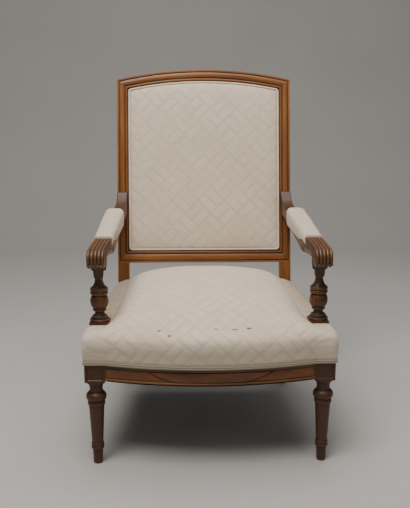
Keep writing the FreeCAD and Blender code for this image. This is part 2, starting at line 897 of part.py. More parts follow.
def brace_screws():
    """Head and direction of the screws in the right hand braces."""
    z = rail_bottom + brace_height / 2
    side_y = (leg_half + brace_side_y) / 2 + 8.0
    side_head = side_x(side_y) - rail_thickness - screw_in_brace
    front_x = (brace_front_x + leg_inner_x) / 2
    inner = bow_radius - rail_thickness
    front_head = bow_centre_y - math.sqrt(inner ** 2 - front_x ** 2) + screw_in_brace
    rear_side_y = post_front_y - brace_rear_run / 2
    rear_side_head = side_x(rear_side_y) - rail_thickness - screw_in_brace
    rear_x = (brace_rear_x + post_inner_x) / 2
    rear_head = rear_rail_front_y - screw_in_brace
    return [
        ((side_head, side_y, z), (1, 0, 0)),
        ((front_x, front_head, z), (0, -1, 0)),
        ((rear_side_head, rear_side_y, z), (1, 0, 0)),
        ((rear_x, rear_head, z), (0, 1, 0)),
    ]


# Webbing, tacks, springs and hessian

def webbing_lines_x():
    """Middles of the front to back strips."""
    step = 2 * (post_inner_x - webbing_width * 0.55) / (webbing_count_x - 1)
    return [step * (n - (webbing_count_x - 1) / 2) for n in range(webbing_count_x)]


def webbing_lines_y():
    """Middles of the side to side strips."""
    low = leg_half + webbing_width * 0.6
    high = post_front_y - webbing_width * 0.8
    step = (high - low) / (webbing_count_y - 1)
    return [low + step * n for n in range(webbing_count_y)]


def bow_y(x, inset):
    """Depth of the front bow at x, drawn in by an inset."""
    return bow_centre_y - math.sqrt((bow_radius - inset) ** 2 - x ** 2)


def webbing_front_to_back():
    high = rail_bottom
    inset = rail_thickness * 0.35
    strips = []
    for x in webbing_lines_x():
        front = max(bow_y(x - webbing_width / 2, inset), bow_y(x + webbing_width / 2, inset))
        strips.append(box((x - webbing_width / 2, front, high - webbing_thickness),
                          (x + webbing_width / 2, rear_rail_back_y - 8.0, high)))
    return Part.Compound(strips)


def side_strip_reach(y):
    return side_x(y + webbing_width / 2) - rail_thickness * 0.35


def webbing_side_to_side():
    high = rail_bottom - webbing_thickness
    strips = []
    for y in webbing_lines_y():
        reach = side_strip_reach(y)
        strips.append(box((-reach, y - webbing_width / 2, high - webbing_thickness),
                          (reach, y + webbing_width / 2, high)))
    return Part.Compound(strips)


def tack(x, y, head_z, grow):
    """An upholstery tack driven upwards, its head under the webbing."""
    shank = Part.makeCylinder(tack_radius + grow, tack_length + grow, V(x, y, head_z))
    if grow:
        return shank
    head = Part.makeCylinder(tack_head_radius, tack_head_height, V(x, y, head_z - tack_head_height))
    return shank.fuse(head).removeSplitter()


def tack_places():
    """Places of the webbing tacks: two at each end of each strip."""
    low = rail_bottom - webbing_thickness
    spread = webbing_width * 0.3
    edge = rail_thickness * 0.62
    places = []
    for x in webbing_lines_x():
        for dx in (-spread, spread):
            places.append((x + dx, bow_y(x + dx, edge), low))
            places.append((x + dx, rear_rail_back_y - 14.0, low))
    for y in webbing_lines_y():
        for dy in (-spread, spread):
            x = side_x(y + dy) - edge
            places.append((x, y + dy, low - webbing_thickness))
            places.append((-x, y + dy, low - webbing_thickness))
    return places


def tack_holes():
    return [tack(x, y, z, joint_gap) for x, y, z in tack_places()]


def biarc(p, tangent_p, q, tangent_q):
    """Two arcs from p to q that leave and arrive along the tangents."""
    v = q - p
    both = tangent_p + tangent_q
    spread = 2 * (1 - tangent_p.dot(tangent_q))
    reach = v.dot(both)
    d = (-reach + math.sqrt(reach ** 2 + spread * v.dot(v))) / spread
    middle = (p + q + (tangent_p - tangent_q) * d) * 0.5
    return [arc_from_tangent(p, tangent_p, middle), arc_to_tangent(middle, q, tangent_q)]


def arc_from_tangent(p, tangent, q):
    chord = q - p
    along = chord / chord.Length
    cosine = max(-1.0, min(1.0, tangent.dot(along)))
    side = tangent - along * cosine
    side.normalize()
    sag = chord.Length / 2 * math.tan(math.acos(cosine) / 2)
    return Part.Arc(p, (p + q) * 0.5 + side * sag, q).toShape()


def arc_to_tangent(p, q, tangent):
    return arc_from_tangent(q, tangent * -1, p)


def spring():
    """One hourglass seat spring about the Z axis, from the webbing to the hessian."""
    low = rail_bottom + spring_wire_radius + 0.1
    high = hessian_top_z - hessian_thickness - spring_wire_radius - 0.1
    total = 2 * spring_turns
    swell = spring_end_radius - spring_waist_radius

    def place(n):
        share = 2 * n / total - 1
        radius = spring_waist_radius + swell * share ** 2
        angle = math.pi * n
        height = low + (high - low) * n / total
        return V(radius * math.cos(angle), radius * math.sin(angle), height)

    def heading(n):
        share = 2 * n / total - 1
        radius = spring_waist_radius + swell * share ** 2
        growth = swell * 2 * share * 2 / total
        angle = math.pi * n
        out = V(math.cos(angle), math.sin(angle), 0)
        across = V(-math.sin(angle), math.cos(angle), 0)
        way = out * growth + across * (radius * math.pi) + V(0, 0, (high - low) / total)
        way.normalize()
        return way

    edges = []
    for n in range(total):
        edges += biarc(place(n), heading(n), place(n + 1), heading(n + 1))
    path = Part.Wire(Part.__sortEdges__(edges))
    circle = Part.Wire(Part.Circle(place(0), heading(0), spring_wire_radius).toShape())
    return path.makePipeShell([circle], True, False)


def seat_springs():
    """Nine springs stand on the webbing in three rows."""
    one = spring()
    springs = []
    for column in (-1, 0, 1):
        for row in (-1, 0, 1):
            copy = one.copy()
            copy.translate(V(column * spring_pitch_x, spring_centre_y + row * spring_pitch_y, 0))
            springs.append(copy)
    return Part.Compound(springs)


# Seat upholstery

def seat_outline(z, front, side, rear, corner):
    """The seat's outline at a height, as offsets from the outer faces of the rails."""
    across = math.sqrt((bow_radius + front) ** 2 - (bow_centre_y + leg_half + front) ** 2)
    y = -leg_half - front
    x = leg_outer_x + side
    arc = corner * (1 - math.sin(math.pi / 4))
    kink = leg_half + (corner - front) / 2
    rear_y = rear_rail_back_y + rear
    end = x + (post_outer_x - leg_outer_x) * (rear_y - kink) / (post_front_y - kink)
    steps = [
        ((0.0, rail_front_y - front), (across, y)),
        ((x - corner, y),),
        ((x - arc, y + arc), (x, y + corner)),
        ((x, kink),),
        ((end, rear_y),),
        ((-end, rear_y),),
        ((-x, kink),),
        ((-x, y + corner),),
        ((-x + arc, y + arc), (-x + corner, y)),
        ((-across, y),),
    ]
    return closed_wire(plan(z), (-across, y), steps)


def seat_prism(low, high, front, side, rear, corner):
    wire = seat_outline(low, front, side, rear, corner)
    return Part.Face(wire).extrude(V(0, 0, high - low))


def crown_z(y):
    """Height of the seat's crown on the middle line."""
    front_run = seat_crown_y - rail_front_y - 13.0
    rear_run = rear_rail_front_y - seat_crown_y
    if y < seat_crown_y:
        share = ((seat_crown_y - y) / front_run) ** crown_power
        return seat_crown_z - (seat_crown_z - seat_roll_z - 1.0) * share
    share = ((y - seat_crown_y) / rear_run) ** 2
    return seat_crown_z - (seat_crown_z - seat_crown_rear_z) * share


def crease_x(y):
    """Half the width between the creases beside the crown."""
    slope = (crease_rear_x - crease_front_x) / (post_front_y - support_axis_y)
    if y > support_axis_y:
        return crease_front_x + slope * (y - support_axis_y)
    return crease_front_x + 0.4 * (support_axis_y - y)


def fullness(y):
    """The share of the crown's rise that its shoulders keep: less towards the bowed front."""
    run = (y - rail_front_y) / (seat_crown_y / 2 - rail_front_y)
    share = min(max(run, 0.0), 1.0)
    return crown_front_fullness + (crown_fullness - crown_front_fullness) * share


def crown_section(y, inset):
    """A cross section of the seat's top: flat side bands, rising flanks, arched crown."""
    wide = leg_outer_x + 60.0
    low = rail_top - 30.0
    edge = seat_edge_z - inset
    top = crown_z(y) - inset
    foot = crease_x(y)
    shoulder = foot - crown_flank
    shoulder_z = edge + fullness(y) * (top - edge)
    run = foot - shoulder
    rise = shoulder_z - edge
    swell = 0.12
    mid_x = (foot + shoulder) / 2 + swell * rise
    mid_z = (edge + shoulder_z) / 2 + swell * run
    steps = [
        ((wide, edge),),
        ((foot, edge),),
        ((mid_x, mid_z), (shoulder, shoulder_z)),
        ((0.0, top), (-shoulder, shoulder_z)),
        ((-mid_x, mid_z), (-foot, edge)),
        ((-wide, edge),),
        ((-wide, low),),
    ]
    return closed_wire(front_view(y), (wide, low), steps)


def seat_form(inset):
    """The stuffed seat above the rails, drawn in by an inset: a lofted bulging edge,
    carried straight up, and cut to the lofted crown."""
    full = seat_bulge
    side_full = seat_side_bulge
    start_z = rail_top - gimp_width
    edge = seat_edge_z
    roll = seat_roll_z
    levels = [
        (start_z, cover_offset, cover_offset, cover_offset, 4.0),
        (start_z + 16.0, full * 0.55, side_full * 0.8, 3.0, 8.0),
        (start_z + 36.0, full * 0.97, side_full, 3.0, 14.0),
        (edge - 18.0, full * 0.93, side_full * 0.8, 2.0, 20.0),
        (edge - 7.0, full * 0.45, -1.0, -2.0, 24.0),
        (edge + 3.0, -3.0, -12.0, -8.0, 27.0),
        (roll, -14.0, -30.0, -16.0, 30.0),
    ]
    wires = []
    for z, front, side, rear, corner in levels:
        wires.append(seat_outline(z, front - inset, side - inset, rear - inset,
                                  max(corner - inset, 1.0)))
    body = Part.makeLoft(wires, True, False)
    z, front, side, rear, corner = levels[-1]
    column = seat_prism(z, seat_crown_z + 20.0, front - inset, side - inset, rear - inset,
                        corner - inset)
    front_run = seat_crown_y - rail_front_y
    rear_run = post_front_y - seat_crown_y
    depths = [rail_front_y - 30.0, rail_front_y + 5.0]
    depths += [rail_front_y + front_run * share for share in (0.12, 0.24, 0.42, 0.62, 0.8)]
    depths += [seat_crown_y, seat_crown_y + rear_run / 3, seat_crown_y + rear_run * 2 / 3]
    depths += [post_front_y, rear_rail_back_y + 25.0]
    crown = Part.makeLoft([crown_section(y, inset) for y in depths], True, False)
    return body.fuse(column).common(crown)


def post_cuts(gap):
    """Room for both rear posts in the seat's upholstery."""
    low = (post_inner_x - gap, post_front_y - gap, leg_block_bottom - 10.0)
    high = (post_outer_x + 60.0, post_rear_y + 40.0, seat_crown_z + 30.0)
    cut = box(low, high)
    return [cut, mirrored(cut)]


def support_cuts(gap):
    """Room for both arm supports in the seat's upholstery."""
    cuts = [shank_box(gap), plate_box(gap)]
    return cuts + [mirrored(c) for c in cuts]


def tray(gap):
    """The space that the spring hessian takes above the rails."""
    wall = rail_thickness * 0.87 - gap
    flange = rail_thickness * 0.4 - gap
    rise = seat_prism(rail_top, hessian_top_z + gap, -wall, -wall, -wall, 4.0)
    foot = seat_prism(rail_top, rail_top + hessian_thickness + gap, -flange, -flange, -flange, 4.0)
    return rise.fuse(foot)


def spring_hessian():
    """Hessian over the springs, with a flange on the rails."""
    wall = rail_thickness * 0.87 + hessian_thickness
    hollow = seat_prism(rail_top - 1, hessian_top_z - hessian_thickness, -wall, -wall, -wall, 3.0)
    hessian = tray(0.0).cut([hollow] + support_cuts(1.0) + post_cuts(1.0))
    return hessian.removeSplitter()


def seat_stuffing():
    body = seat_form(cover_offset)
    low = box((-500, -200, 0), (500, 700, rail_top))
    return body.cut([low, tray(soft_gap)] + support_cuts(1.0) + post_cuts(1.0))


def skirt(offset, low):
    """The straight part of the cover that lies on the rails' outer faces."""
    return seat_prism(low, rail_top - gimp_width, offset, offset, offset,
                      max(4.0 - cover_offset + offset, 1.0))


def skirt_bottom():
    return rail_top - 2 * gimp_width


def seat_cover():
    """The damask over the seat: a thin shell, open below."""
    outer = seat_form(0.0).fuse(skirt(cover_offset, skirt_bottom()))
    inner = seat_form(cover_thickness).fuse(skirt(soft_gap, skirt_bottom() - 5.0))
    cover = outer.cut([inner] + support_cuts(soft_gap) + post_cuts(1.0))
    return cover


def seat_gimp():
    """The woven braid along the lower edge of the seat cover."""
    near = cover_offset + soft_gap
    far = near + gimp_thickness
    low = skirt_bottom() - 2.0
    high = low + gimp_width
    ring = seat_prism(low, high, far, far, far, 4.0 + far - cover_offset)
    ring = ring.cut([seat_prism(low - 1, high + 1, near, near, near, 4.0 + near - cover_offset)])
    return ring.cut(post_cuts(soft_gap))


def bottom_cloth():
    """The plain cloth under the seat, on the tack heads, with corners cut for the legs."""
    high = rail_bottom - 2 * webbing_thickness - tack_head_height - 0.1
    inset = rail_thickness * 0.25
    sheet = seat_prism(high - bottom_cloth_thickness, high, -inset, -inset, -inset, 4.0)
    leg = box((leg_inner_x - 1.0, -leg_half - 60, 0), (leg_outer_x + 60, leg_half + 1.0, 400))
    return sheet.cut([leg, mirrored(leg)] + post_cuts(1.0))


# Back upholstery, drawn flat

def back_outline(w, inset, corner):
    """The outline of the back's opening drawn in by an inset, with rounded corners."""
    half = opening_half - inset
    low = lower_rail_face + inset
    radius = opening_radius - inset
    centre_x = half - corner
    centre_y = top_centre_v + math.sqrt((radius - corner) ** 2 - centre_x ** 2)
    lean = math.atan2(centre_x, centre_y - top_centre_v)
    touch = (radius * math.sin(lean), top_centre_v + radius * math.cos(lean))
    middle = (lean + math.pi / 2) / 2
    top_mid = (centre_x + corner * math.sin(middle), centre_y + corner * math.cos(middle))
    diagonal = corner * (1 - math.sin(math.pi / 4))
    steps = [
        ((half - corner, low),),
        ((half - diagonal, low + diagonal), (half, low + corner)),
        ((half, centre_y),),
        (top_mid, touch),
        ((0.0, top_centre_v + radius), (-touch[0], touch[1])),
        ((-top_mid[0], top_mid[1]), (-half, centre_y)),
        ((-half, low + corner),),
        ((-half + diagonal, low + diagonal), (-half + corner, low)),
    ]
    return closed_wire(plan(w), (-half + corner, low), steps)


def back_plate(low, high, inset, corner):
    return Part.Face(back_outline(low, inset, corner)).extrude(V(0, 0, high - low))


def back_seat_w():
    """Height of the hessian's upper face in the back frame's rebate."""
    return -rebate_depth + 2 * back_strip_thickness + back_hessian_thickness


def back_form(inset):
    """The crowned pad of the back, drawn in by an inset, from its hessian up. The rings of
    its crown follow a quarter ellipse and round their corners towards the middle."""
    base = back_seat_w() + soft_gap
    crown = back_pad_crown - inset
    first = back_pad_edge + 2 * piping_radius + soft_gap + inset
    wall = back_plate(base, 0.0, first, back_pad_corner)
    wires = []
    for level in range(back_pad_levels + 1):
        angle = math.pi / 2 * level / back_pad_levels
        run = back_pad_run * (1 - math.cos(angle))
        corner = back_pad_corner + back_pad_rounding * run
        wires.append(back_outline(crown * math.sin(angle), first + run, corner))
    return wall.fuse(Part.makeLoft(wires, True, True))


def back_strips():
    """Crossed webbing strips on the rebate's ledge."""
    low = -rebate_depth
    thick = back_strip_thickness
    limit = back_plate(low, low + 2 * thick, 2.0, 3.0)
    span = back_crown
    strips = []
    for n in (-1, 0, 1):
        y = lower_rail_face + (opening_corner_v - lower_rail_face) * (0.5 + n * back_strip_pitch_y)
        strips.append(box((-span, y - back_strip_width / 2, low),
                          (span, y + back_strip_width / 2, low + thick)))
    for n in (-1, 0, 1):
        x = n * opening_half * back_strip_pitch_x
        strips.append(box((x - back_strip_width / 2, 0, low + thick),
                          (x + back_strip_width / 2, span + 50, low + 2 * thick)))
    return raised(Part.Compound([s.common(limit) for s in strips]))


def back_hessian():
    low = -rebate_depth + 2 * back_strip_thickness
    return raised(back_plate(low, back_seat_w(), 2.0, 3.0))


def back_stuffing():
    return raised(back_form(cover_offset))


def back_cover():
    return raised(back_form(0.0).cut(back_form(cover_thickness)))


def back_piping():
    """The covered cord that runs round the back's opening."""
    inset = back_pad_edge + piping_radius
    height = -0.5
    path = back_outline(height, inset, 6.0)
    start = path.Edges[0].Vertexes[0].Point
    circle = Part.Wire(Part.Circle(start, V(1, 0, 0), piping_radius).toShape())
    return raised(path.makePipeShell([circle], True, False))


def outside_back_cover():
    high = -back_thickness
    inset = -outside_border + back_pad_edge
    return raised(back_plate(high - outside_cloth, high, inset, 6.0))


def outside_back_gimp():
    """The braid round the outside back's cloth."""
    high = -back_thickness - outside_cloth
    outer = -outside_border
    ring = back_plate(high - gimp_thickness, high, outer, 6.0)
    hole = back_plate(high - gimp_thickness - 1, high + 1, outer + gimp_width, 3.0)
    return raised(ring.cut(hole))


# Arm pads

def pad_section(y, inset, drawn_in):
    """A cross section of the right arm pad: straight sides and a crowned top, drawn in
    where the pad closes at its ends."""
    share = (y - pad_front_y) / (pad_rear_y - pad_front_y)
    width = pad_front_width + (pad_rear_width - pad_front_width) * share
    half = width / 2 - inset - drawn_in
    wood = arm_top_front_z + (arm_top_rear_z - arm_top_front_z) * share
    full_top = wood + pad_front_rise + (pad_rear_rise - pad_front_rise) * share
    low = full_top - pad_front_skirt - (pad_rear_skirt - pad_front_skirt) * share
    top = full_top - inset - drawn_in * 1.5
    height = top - low
    side = low + height * 0.42
    shoulder_z = low + height * 0.84
    brow_z = top - pad_brow
    x = arm_pad_centre
    steps = [
        ((x + half * 0.96, low),),
        ((x + half, side),),
        ((x + half * 0.84, shoulder_z), (x + half * 0.45, brow_z)),
        ((x, top), (x - half * 0.45, brow_z)),
        ((x - half * 0.84, shoulder_z), (x - half, side)),
        ((x - half * 0.96, low),),
    ]
    return closed_wire(front_view(y), (x - half * 0.96, low), steps)


def pad_form(inset, margin):
    """The arm pad's loft, from one drawn in end to the other."""
    run = pad_rear_y - pad_front_y
    low = pad_front_y + margin
    high = pad_rear_y - margin
    stations = [
        (low, pad_end_draw * 0.5),
        (low + pad_end_run * 0.4, pad_end_draw * 0.12),
        (low + pad_end_run, 0.0),
        (pad_front_y + run / 2, 0.0),
        (high - pad_end_run, 0.0),
        (high - pad_end_run * 0.4, pad_end_draw * 0.25),
        (high, pad_end_draw),
    ]
    return Part.makeLoft([pad_section(y, inset, draw) for y, draw in stations], True, True)


def arm_under_pad():
    """The arm where the pad lies on it, with a slight gap."""
    half = arm_width / 2 + joint_gap
    front_z = arm_top_front_z - pad_recess + joint_gap
    rear_z = arm_top_rear_z - pad_recess + joint_gap
    low = arm_mid_bottom_z - 50.0
    steps = [
        ((pad_rear_y, low),),
        ((pad_rear_y, rear_z),),
        ((pad_front_y, front_z),),
    ]
    face = flat_face(side_view(arm_pad_centre - half), (pad_front_y, low), steps)
    return face.extrude(V(2 * half, 0, 0))


def arm_pad_stuffing():
    return pad_form(cover_offset, cover_offset + 0.2).cut(arm_under_pad())


def arm_pad_cover():
    inner = pad_form(cover_thickness, cover_thickness)
    return pad_form(0.0, 0.2).cut([inner, arm_under_pad()])


def arm_pad_gimp():
    """The braid over the arm at the front end of the right pad."""
    half = arm_width / 2 - 0.5
    high = arm_top_front_z + 1.6
    steps = [
        ((pad_front_y - 0.2, arm_top_front_z + 0.1),),
        ((pad_front_y - 0.2, high),),
        ((pad_front_y - pad_gimp_width, high),),
    ]
    start = (pad_front_y - pad_gimp_width, arm_top_front_z + 0.1)
    face = flat_face(side_view(arm_pad_centre - half), start, steps)
    return face.extrude(V(2 * half, 0, 0))


# Making and saving

def with_mirror(shapes):
    """A group of solids on the right and the same on the left."""
    return Part.Compound(list(shapes) + [mirrored(s) for s in shapes])


def build():
    """Every piece by name, where it is built."""
    braces = brace_screws()
    brace_holes = [screw(head, way, screw_gap) for head, way in braces]
    holes = brace_holes + [mirrored(h) for h in brace_holes]
    support_holes = [support_screw(z, screw_gap) for z in support_screw_levels()]
    tacks = tack_holes()
    right_rail = side_rail().cut(brace_holes + support_holes + tacks)
    left_rail = mirrored(side_rail().cut(brace_holes + support_holes)).cut(tacks)
    right_brace = front_brace().cut(brace_holes)
    right_rear_brace = rear_brace().cut(brace_holes)
    screws = [screw(head, way, 0.0) for head, way in braces]
    support_screws = [support_screw(z, 0.0) for z in support_screw_levels()]
    webs_x = webbing_front_to_back().cut(tacks)
    webs_y = webbing_side_to_side().cut(tacks)
    one_post = rear_post()
    one_leg = front_leg()
    one_support = arm_post()
    one_arm = arm()
    one_stuffing = arm_pad_stuffing()
    one_pad = arm_pad_cover()
    return {
        "front_leg_right": one_leg,
        "front_leg_left": mirrored(one_leg),
        "rear_post_right": one_post,
        "rear_post_left": mirrored(one_post),
        "front_rail": front_rail().cut(holes + tacks),
        "side_rail_right": right_rail,
        "side_rail_left": left_rail,
        "rear_rail": rear_rail().cut(holes + tacks),
        "top_rail": top_rail(),
        "lower_back_rail": lower_back_rail(),
        "arm_post_right": one_support,
        "arm_post_left": mirrored(one_support),
        "arm_right": one_arm,
        "arm_left": mirrored(one_arm),
        "corner_braces": with_mirror([right_brace, right_rear_brace]),
        "corner_brace_screws": with_mirror(screws),
        "arm_post_screws": with_mirror(support_screws),
        "webbing_front_to_back": webs_x,
        "webbing_side_to_side": webs_y,
        "webbing_tacks": Part.Compound([tack(x, y, z, 0.0) for x, y, z in tack_places()]),
        "seat_springs": seat_springs(),
        "spring_hessian": spring_hessian(),
        "seat_stuffing": seat_stuffing(),
        "seat_cover": seat_cover(),
        "seat_gimp": seat_gimp(),
        "bottom_cloth": bottom_cloth(),
        "back_webbing": back_strips(),
        "back_hessian": back_hessian(),
        "back_stuffing": back_stuffing(),
        "back_cover": back_cover(),
        "back_piping": back_piping(),
        "outside_back_cover": outside_back_cover(),
        "outside_back_gimp": outside_back_gimp(),
        "arm_pad_stuffing_right": one_stuffing,
        "arm_pad_stuffing_left": mirrored(one_stuffing),
        "arm_pad_cover_right": one_pad,
        "arm_pad_cover_left": mirrored(one_pad),
        "arm_pad_gimp": with_mirror([arm_pad_gimp()]),
    }


def depth_centre(pieces):
    """The middle of the chair's depth, from its foremost and rearmost faces."""
    boxes = [shape.optimalBoundingBox(False, False) for shape in pieces.values()]
    return (min(b.YMin for b in boxes) + max(b.YMax for b in boxes)) / 2


def main():
    os.makedirs("parts", exist_ok=True)
    pieces = build()
    middle = depth_centre(pieces)
    for name, shape in pieces.items():
        shape.translate(V(0, -middle, 0))
        shape.exportStep(f"parts/{name}.step")
        sound = shape.isValid() and all(s.isValid() and s.isClosed() for s in shape.Solids)
        size = shape.BoundBox
        print(f"{name:26s} solids {len(shape.Solids):3d} sound {sound} volume {shape.Volume:12.1f}"
              f" z {size.ZMin:7.1f} to {size.ZMax:7.1f}")
    print(f"moved back by {-middle:.2f}")


main()
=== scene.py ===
# %% [markdown]
# # An upholstered open armchair
# The chair stands around a packed CAD frame, which holds every size and place. Each
# visible piece could be carved from a box by hand, but here it is a surface worked out
# with numpy, because a formula can be read, checked and changed. It is written in chair
# millimetres: X to the viewer's right, Y to the back with 0 on the axis of the front
# legs, Z up from the floor. The last step of every piece turns these millimetres into
# the frame's metres, so nothing is ever fitted by eye.

# %% Load the frame
import math

import bmesh
import bpy
import numpy as np
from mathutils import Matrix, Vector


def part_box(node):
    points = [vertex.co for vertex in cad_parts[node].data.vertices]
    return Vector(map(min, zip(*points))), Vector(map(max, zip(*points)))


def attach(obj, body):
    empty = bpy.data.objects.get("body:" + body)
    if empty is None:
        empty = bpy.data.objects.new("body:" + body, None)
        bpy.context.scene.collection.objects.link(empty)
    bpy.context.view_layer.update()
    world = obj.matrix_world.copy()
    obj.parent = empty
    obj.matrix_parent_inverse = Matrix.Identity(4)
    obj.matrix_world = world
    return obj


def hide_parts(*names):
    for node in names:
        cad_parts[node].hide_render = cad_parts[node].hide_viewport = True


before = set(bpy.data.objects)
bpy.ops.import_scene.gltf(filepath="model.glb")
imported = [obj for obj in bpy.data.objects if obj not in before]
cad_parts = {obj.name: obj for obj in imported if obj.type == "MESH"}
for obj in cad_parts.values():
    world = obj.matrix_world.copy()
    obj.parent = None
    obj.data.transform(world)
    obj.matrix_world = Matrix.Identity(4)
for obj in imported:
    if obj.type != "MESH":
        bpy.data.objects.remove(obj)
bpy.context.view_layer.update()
leg_low, leg_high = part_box("front_leg_right")
leg_axis_y = (leg_low.y + leg_high.y) / 2
print("CAD nodes:", len(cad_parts), "front leg axis at y =", round(leg_axis_y, 5))

# %% [markdown]
# ## Camera
# The photograph was taken from a little above the arms, almost straight on. A camera can
# be moved about until the picture looks right, but here the lens and the place come from
# the perspective of the chair itself: its corners were measured and a lens fitted to them.

# %% Camera
camera_data = bpy.data.cameras.new("photo_camera")
camera_data.sensor_fit = "VERTICAL"
camera_data.sensor_height = 36.0
camera_data.lens = 55.906
camera = bpy.data.objects.new("photo_camera", camera_data)
camera.location = (-0.0659, -2.18616, 0.9695)
camera.rotation_euler = (math.radians(90 - 12.46), 0.0, math.radians(-1.6))
bpy.context.scene.collection.objects.link(camera)
bpy.context.scene.camera = camera
print("camera", tuple(round(v, 3) for v in camera.location))

# %% [markdown]
# ## Light
# The photograph has soft light from above. Large area lights give such soft shadows: a
# warm one high in front, a weak one at the right so the turnings keep their form, and one
# straight above for the seat. The world adds an even, dim grey.

# %% Lights
def soft_box(name, place, aim, size, power, warmth=(1.0, 1.0, 1.0)):
    """A square area light at a place, turned to look at a point."""
    light = bpy.data.lights.new(name, "AREA")
    light.shape = "SQUARE"
    light.size = size
    light.energy = power
    light.color = warmth
    lamp = bpy.data.objects.new(name, light)
    lamp.location = place
    way = np.array(aim, float) - np.array(place, float)
    flat = math.hypot(way[0], way[1])
    lamp.rotation_euler = (math.atan2(flat, -way[2]), 0.0, math.atan2(-way[0], way[1]))
    bpy.context.scene.collection.objects.link(lamp)


soft_box("key_light", (-0.6, -1.35, 3.4), (0, 0.1, 0.55), 1.7, 100, (1.0, 0.95, 0.88))
soft_box("fill_light", (1.9, -2.3, 2.2), (0, 0, 0.6), 1.8, 8, (1.0, 0.97, 0.93))
soft_box("top_light", (0.1, 0.3, 3.0), (0, 0, 0.5), 1.6, 34, (1.0, 0.97, 0.93))
world = bpy.data.worlds.new("studio")
world.use_nodes = True
world.node_tree.nodes["Background"].inputs["Color"].default_value = (0.82, 0.82, 0.82, 1)
world.node_tree.nodes["Background"].inputs["Strength"].default_value = 0.11
bpy.context.scene.world = world
print("lights:", len(bpy.data.lights))

# %% [markdown]
# ## Shader arithmetic
# A finish is a network of nodes. It could be wired by hand in the shader editor, but then
# the reader has to follow lines across a canvas. `Value` wraps one output instead, so a
# mask is written as plain arithmetic, and each operator adds the Math node it stands for.

# %% Value
class Value:
    """A number that may vary over a surface. Arithmetic on it adds Math nodes."""

    def __init__(self, finish, socket):
        self.finish = finish
        self.socket = socket

    def math(self, operation, *others):
        """A Math node that takes this value first and the others after it."""
        return self.finish.node("ShaderNodeMath", {"operation": operation}, dict(enumerate([self, *others])))

    def __add__(self, other):
        return self.math("ADD", other)

    __radd__ = __add__

    def __sub__(self, other):
        return self.math("SUBTRACT", other)

    def __rsub__(self, other):
        return self.finish.node("ShaderNodeMath", {"operation": "SUBTRACT"}, {0: other, 1: self})

    def __mul__(self, other):
        return self.math("MULTIPLY", other)

    __rmul__ = __mul__

    def __truediv__(self, other):
        return self.math("DIVIDE", other)

    def __pow__(self, other):
        return self.math("POWER", other)

    def step(self, low, high):
        """0 below low, 1 above high, and an even curve between."""
        settings = {"interpolation_type": "SMOOTHSTEP"}
        sockets = {"Value": self, "From Min": low, "From Max": high}
        return self.finish.node("ShaderNodeMapRange", settings, sockets)


print("operators of Value:", [name for name in vars(Value) if name.startswith("__r")])

# %% [markdown]
# `Finish` is a material while it is being made. Its `node` method adds any node from its
# type, its settings and the values of its sockets, in that order, because some settings
# decide which sockets there are. `finish` ends the network in a Principled shader.

# %% Finish
class Finish:
    """A material under construction."""

    def __init__(self, name):
        self.material = bpy.data.materials.new(name)
        self.material.use_nodes = True
        self.tree = self.material.node_tree
        self.tree.nodes.clear()

    def node(self, kind, settings=None, sockets=None, output=0):
        """Adds a node: its settings first, then the values or links of its sockets."""
        made = self.tree.nodes.new(kind)
        for key, value in (settings or {}).items():
            if key == "stops":
                ramp = made.color_ramp.elements
                while len(ramp) < len(value):
                    ramp.new(0.5)
                for element, (place, colour) in zip(ramp, value):
                    element.position = place
                    element.color = colour
            else:
                setattr(made, key, value)
        for key, value in (sockets or {}).items():
            if isinstance(value, Value):
                self.tree.links.new(value.socket, made.inputs[key])
            else:
                made.inputs[key].default_value = value
        return Value(self, made.outputs[output]) if len(made.outputs) else None

    def parts(self, vector):
        """The three numbers of a vector."""
        x = self.node("ShaderNodeSeparateXYZ", None, {0: vector})
        return x, *(Value(self, x.socket.node.outputs[k]) for k in (1, 2))

    def seen(self):
        """Object coordinates, in metres."""
        return self.node("ShaderNodeTexCoord", None, None, "Object")

    def cloth(self, offset=(0.0, 0.0, 0.0)):
        """The cloth map in millimetres."""
        cloth = self.node("ShaderNodeUVMap", {"uv_map": "cloth"})
        return self.scaled(cloth, (1000.0, 1000.0, 1.0), offset)

    def mix(self, first, second, share):
        """A colour between two colours."""
        sockets = {0: share, 6: first, 7: second}
        return self.node("ShaderNodeMix", {"data_type": "RGBA"}, sockets, 2)

    def place(self, name):
        """A point attribute of the mesh as a vector."""
        return self.node("ShaderNodeAttribute", {"attribute_name": name}, None, "Vector")

    def mark(self, name):
        """A point attribute of the mesh as a number."""
        return self.node("ShaderNodeAttribute", {"attribute_name": name}, None, "Fac")

    def scaled(self, vector, scale, offset=(0, 0, 0)):
        """A place multiplied by a scale and shifted by an offset."""
        return self.node("ShaderNodeMapping", None, {"Vector": vector, "Scale": scale, "Location": offset})

    def noise(self, vector, scale, detail=3.0, roughness=0.5):
        """Cloudy values from 0 to 1, with detail octaves."""
        sockets = {"Vector": vector, "Scale": scale, "Detail": detail, "Roughness": roughness}
        return self.node("ShaderNodeTexNoise", None, sockets)

    def finish(self, colour, roughness, height=None, reach=0.001, strength=1.0, **fixed):
        """Ends the network in a Principled shader and the output."""
        sockets = {"Base Color": colour, "Roughness": roughness}
        sockets.update({key.replace("_", " ").title(): value for key, value in fixed.items()})
        if height is not None:
            bump = {"Height": height, "Distance": reach, "Strength": strength}
            sockets["Normal"] = self.node("ShaderNodeBump", None, bump)
        shader = self.node("ShaderNodeBsdfPrincipled", None, sockets)
        self.node("ShaderNodeOutputMaterial", None, {"Surface": shader})
        return self.material


print("finish tools ready")

